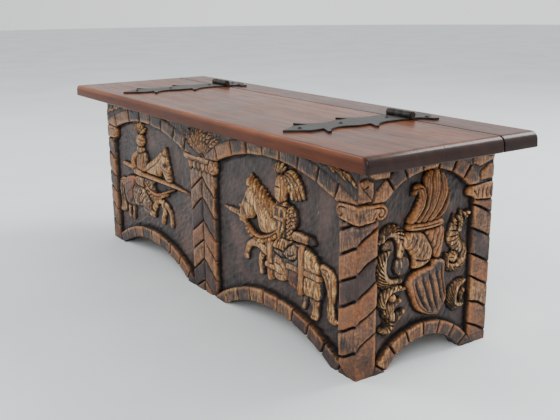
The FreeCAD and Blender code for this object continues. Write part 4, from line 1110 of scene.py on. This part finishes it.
def saw(slab, place, facing, off=False):
    # a cut right through a slab; what lies beyond it falls off or stays
    bmesh.ops.bisect_plane(slab, geom=slab.verts[:] + slab.edges[:] + slab.faces[:], plane_co=place,
                           plane_no=facing, clear_outer=off)


def top_board(name, front_cut, back_cut, material, body):
    # one board of the top: the whole top with its rounds, sawn off at both cuts, then planed a little uneven
    slab = bmesh.new()
    size = Matrix.Diagonal((2 * top_half_length, top_back - top_front, top_high - top_low, 1))
    bmesh.ops.create_cube(slab, size=1, matrix=Matrix.Translation((0, 0, (top_high + top_low) / 2)) @ size)
    upper_ends = [edge for edge in slab.edges
                  if all(vertex.co.z > top_low + 0.01 for vertex in edge.verts)
                  and abs(edge.verts[0].co.y - edge.verts[1].co.y) > 0.01]
    ease_edges(slab, upper_ends, end_round, 12)
    for long_face in (top_front, top_back):
        outline = [edge for edge in slab.edges
                   if all(abs(vertex.co.y - long_face) < 1e-6 for vertex in edge.verts)
                   and any(vertex.co.z > top_low + 1e-5 for vertex in edge.verts)]
        ease_edges(slab, outline, long_round, 6)
    lower = [edge for edge in slab.edges if all(abs(vertex.co.z - top_low) < 1e-5 for vertex in edge.verts)]
    ease_edges(slab, lower, lower_round, 4)
    for cut, facing in ((front_cut, -1), (back_cut, 1)):
        if top_front < cut < top_back:
            saw(slab, (0, cut, 0), (0, facing, 0), off=True)
            bmesh.ops.holes_fill(slab, edges=[edge for edge in slab.edges if edge.is_boundary])
            sawn = [edge for edge in slab.edges
                    if all(abs(vertex.co.y - cut) < 1e-6 for vertex in edge.verts)]
            ease_edges(slab, sawn, glued_round if cut == glue_line else sawn_round, 3)
    steps_across = range(1, int((back_cut - front_cut) / ripple_across) + 1)
    steps_along = range(-ripple_count, ripple_count + 1)
    planes = [((0, front_cut + ripple_across * step, 0), (0, 1, 0)) for step in steps_across]
    planes += [((ripple_along * step, 0, 0), (1, 0, 0)) for step in steps_along]
    for place, facing in planes:
        saw(slab, place, facing)
    bmesh.ops.triangulate(slab, faces=[face for face in slab.faces if len(face.verts) > 4])
    for vertex in slab.verts:
        x, y, z = vertex.co
        if z > top_low + 0.004:
            vertex.co.z -= face_sink * worn(x, y, 2.0) * (z > top_high - 0.001)
            if y < top_front + edge_zone:
                vertex.co.y += edge_sink * worn(x, z, 5.0)
            if y > top_back - edge_zone:
                vertex.co.y -= edge_sink * worn(x, z, 7.0)
            if abs(x) > top_half_length - edge_zone:
                vertex.co.x -= math.copysign(end_sink * worn(y, z, 9.0), x)
    bmesh.ops.recalc_face_normals(slab, faces=slab.faces)
    mesh = bpy.data.meshes.new(name)
    slab.to_mesh(mesh)
    slab.free()
    mesh.shade_smooth()
    mesh.set_sharp_from_angle(angle=math.radians(35))
    board = place_piece(name, mesh, material, body)
    even = board.modifiers.new("flat_faces", "WEIGHTED_NORMAL")
    even.keep_sharp = True
    return board


lid_finish, lid_shader, mixing, place, colour = board_finish(
    "waxed_red_brown", (0.035, 1.0, 1.0), tint(138, 75, 34), tint(74, 37, 20), scuff=0.34,
    Specular_IOR_Level=0.07, Coat_Roughness=0.12)
axes = mixing.axes(place)
off_end, off_front, height = abs(axes), axes.part(1) * -1.0, axes.part(2)
thirsty = off_end.between(0.597, 0.606)
blotch = mixing.speckle(place, 16.0, 4.0)
rubbed = off_front.between(0.187, 0.1925) * height.between(0.403, 0.411) * (1.0 - thirsty)
colour = (rubbed * (0.1 + 0.5 * blotch)).mix(colour, tint(178, 98, 58))
streak = mixing.speckle(mixing.stretched(place, (0.9, 26.0, 26.0)), 3.2, 2.0).between(0.55, 0.72)
colour = (streak * 0.55).mix(colour, tint(48, 24, 18))
colour = (blotch.between(0.5, 0.72) * 0.4).mix(colour, tint(58, 29, 20))
cloud = mixing.speckle(mixing.stretched(place, (2.2, 9.0, 9.0)), 1.7, 3.0).between(0.42, 0.66)
colour = (cloud * 0.5).mix(colour, tint(68, 34, 21))
rail_share = axes.part(1).between(0.1055, 0.107)
colour = (rail_share * 0.45).mix(colour, tint(50, 28, 20))
# painted shade on the lid's front face below its upper round, darker in blotches
front_face_painted_shade = off_front.between(0.187, 0.192) * (1.0 - height.between(0.402, 0.409))
colour = (front_face_painted_shade * (0.4 + 0.5 * blotch)).mix(colour, tint(66, 28, 14))
feed(lid_shader, Base_Color=(thirsty * 0.9).mix(colour, tint(27, 14, 12)),
     Coat_Weight=0.07 + 0.1 * blotch + 0.2 * thirsty + 0.2 * rubbed)
for name, front_cut, back_cut, body in (("rear_rail", rail_front, top_back, "carcass"),
                                        ("lid_board_front", top_front, glue_line, "lid"),
                                        ("lid_board_rear", glue_line, lid_back, "lid")):
    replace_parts(top_board(name + "_waxed", front_cut, back_cut, lid_finish, body), name)

# Lid battens: two strips of stained wood screwed across the underside, which keep the glued lid flat, and the
# countersunk screws that hold them.
batten_finish, batten_shader, mixing, place, colour = board_finish(
    "batten_stain", cross_run, tint(132, 82, 54), tint(78, 44, 30), scuff=0.5)
feed(batten_shader, Base_Color=colour)
for side in ("left", "right"):
    finish_node("lid_batten_" + side, batten_finish, arris=0.002, segments=3)
finish_node("lid_batten_screws", steel)

# Strap hinges: leaves cut from thick sheet iron with barbed outlines, their knuckles rolled round a loose
# pin. The iron is blackened, hammered and waxed, and rubbed to a grey sheen on its flats.
iron, iron_shader, mixing = finish_named("blackened_iron", Metallic=0.55)
place = mixing.own_place()
hammer = mixing.node("ShaderNodeTexVoronoi", {"feature": "SMOOTH_F1"},
                     {"Vector": place, "Scale": 95.0, "Smoothness": 0.8})
scale = mixing.speckle(place, 320.0, 4.0, Roughness=0.65)
patch = mixing.speckle(place, 22.0, 5.0)
soot = scale.between(0.35, 0.7).mix(tint(30, 27, 26), tint(58, 54, 50))
feed(iron_shader, Base_Color=(patch.between(0.52, 0.72) * 0.6).mix(soot, tint(84, 74, 62)))
feed(iron_shader, Roughness=0.4 + 0.22 * patch + (scale - 0.5) * 0.25)
feed(iron_shader, Normal=mixing.bump(hammer * 1.2 + scale * 0.25, 0.3, 0.0012))
for side in ("left", "right"):
    finish_node(f"hinge_{side}_strap", iron, arris=0.0007)
    finish_node(f"hinge_{side}_tail_leaf", iron, arris=0.0007)
    finish_node(f"hinge_{side}_pin", iron, arris=0.0006)

# Hinge nails: hand-forged iron, square in the shank, with a low four-sided head. Three hold each strap to the
# lid and three hold each tail leaf to the rail.
nail_head_half, nail_head_height, nail_head_flat, nail_arris = 0.0068, 0.0026, 0.0009, 0.00045
nail_shank_half, nail_point_half, nail_length = 0.0015, 0.0004, 0.0195
leaf_top = 0.4175
nail_iron, nail_shader, mixing = finish_named("forged_nail_iron", Metallic=0.5)
scale = mixing.speckle(mixing.own_place(), 380.0, 4.0)
feed(nail_shader, Base_Color=scale.between(0.35, 0.7).mix(tint(22, 20, 20), tint(50, 46, 42)))
feed(nail_shader, Roughness=0.42 + 0.25 * scale)
feed(nail_shader, Normal=mixing.bump(scale, 0.3, 0.0005))
axis_y, strap_length, tail_length, hinge_offset, tail_spread = 0.1065, 0.2755, 0.0655, 0.349, 0.03906
nail_rows = {"strap": ("lid", [(0, -0.125 * strap_length), (0, -0.53 * strap_length),
                               (0, -0.865 * strap_length)]),
             "tail": ("carcass", [(-tail_spread, 0.50 * tail_length), (0, 0.55 * tail_length),
                                  (tail_spread, 0.50 * tail_length)])}
for side, hinge_x in (("left", -hinge_offset), ("right", hinge_offset)):
    for leaf, (body, places) in nail_rows.items():
        nails = bmesh.new()
        for number, (across, along) in enumerate(places):
            turn = Matrix.Rotation(0.14 * math.sin(5.0 * number + across * 90 + hinge_x * 7), 4, "Z")
            seat = Matrix.Translation((hinge_x + across, axis_y + along, leaf_top)) @ turn
            head = Matrix.Translation((0, 0, nail_head_height / 2))
            made = bmesh.ops.create_cone(nails, cap_ends=True, segments=4, radius1=nail_head_half,
                                         radius2=nail_head_flat, depth=nail_head_height, matrix=seat @ head)
            edges = {edge for vertex in made["verts"] for edge in vertex.link_edges}
            ease_edges(nails, list(edges), nail_arris, 2)
            shank = Matrix.Translation((0, 0, -nail_length / 2)) @ Matrix.Rotation(math.pi, 4, "X")
            bmesh.ops.create_cone(nails, cap_ends=True, segments=4, radius1=nail_shank_half,
                                  radius2=nail_point_half, depth=nail_length, matrix=seat @ shank)
        bmesh.ops.recalc_face_normals(nails, faces=nails.faces)
        mesh = bpy.data.meshes.new(f"hinge_{side}_{leaf}_forged_nails")
        nails.to_mesh(mesh)
        nails.free()
        mesh.shade_smooth()
        mesh.set_sharp_from_angle(angle=math.radians(30))
        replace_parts(place_piece(mesh.name, mesh, nail_iron, body), f"hinge_{side}_{leaf}_nails")
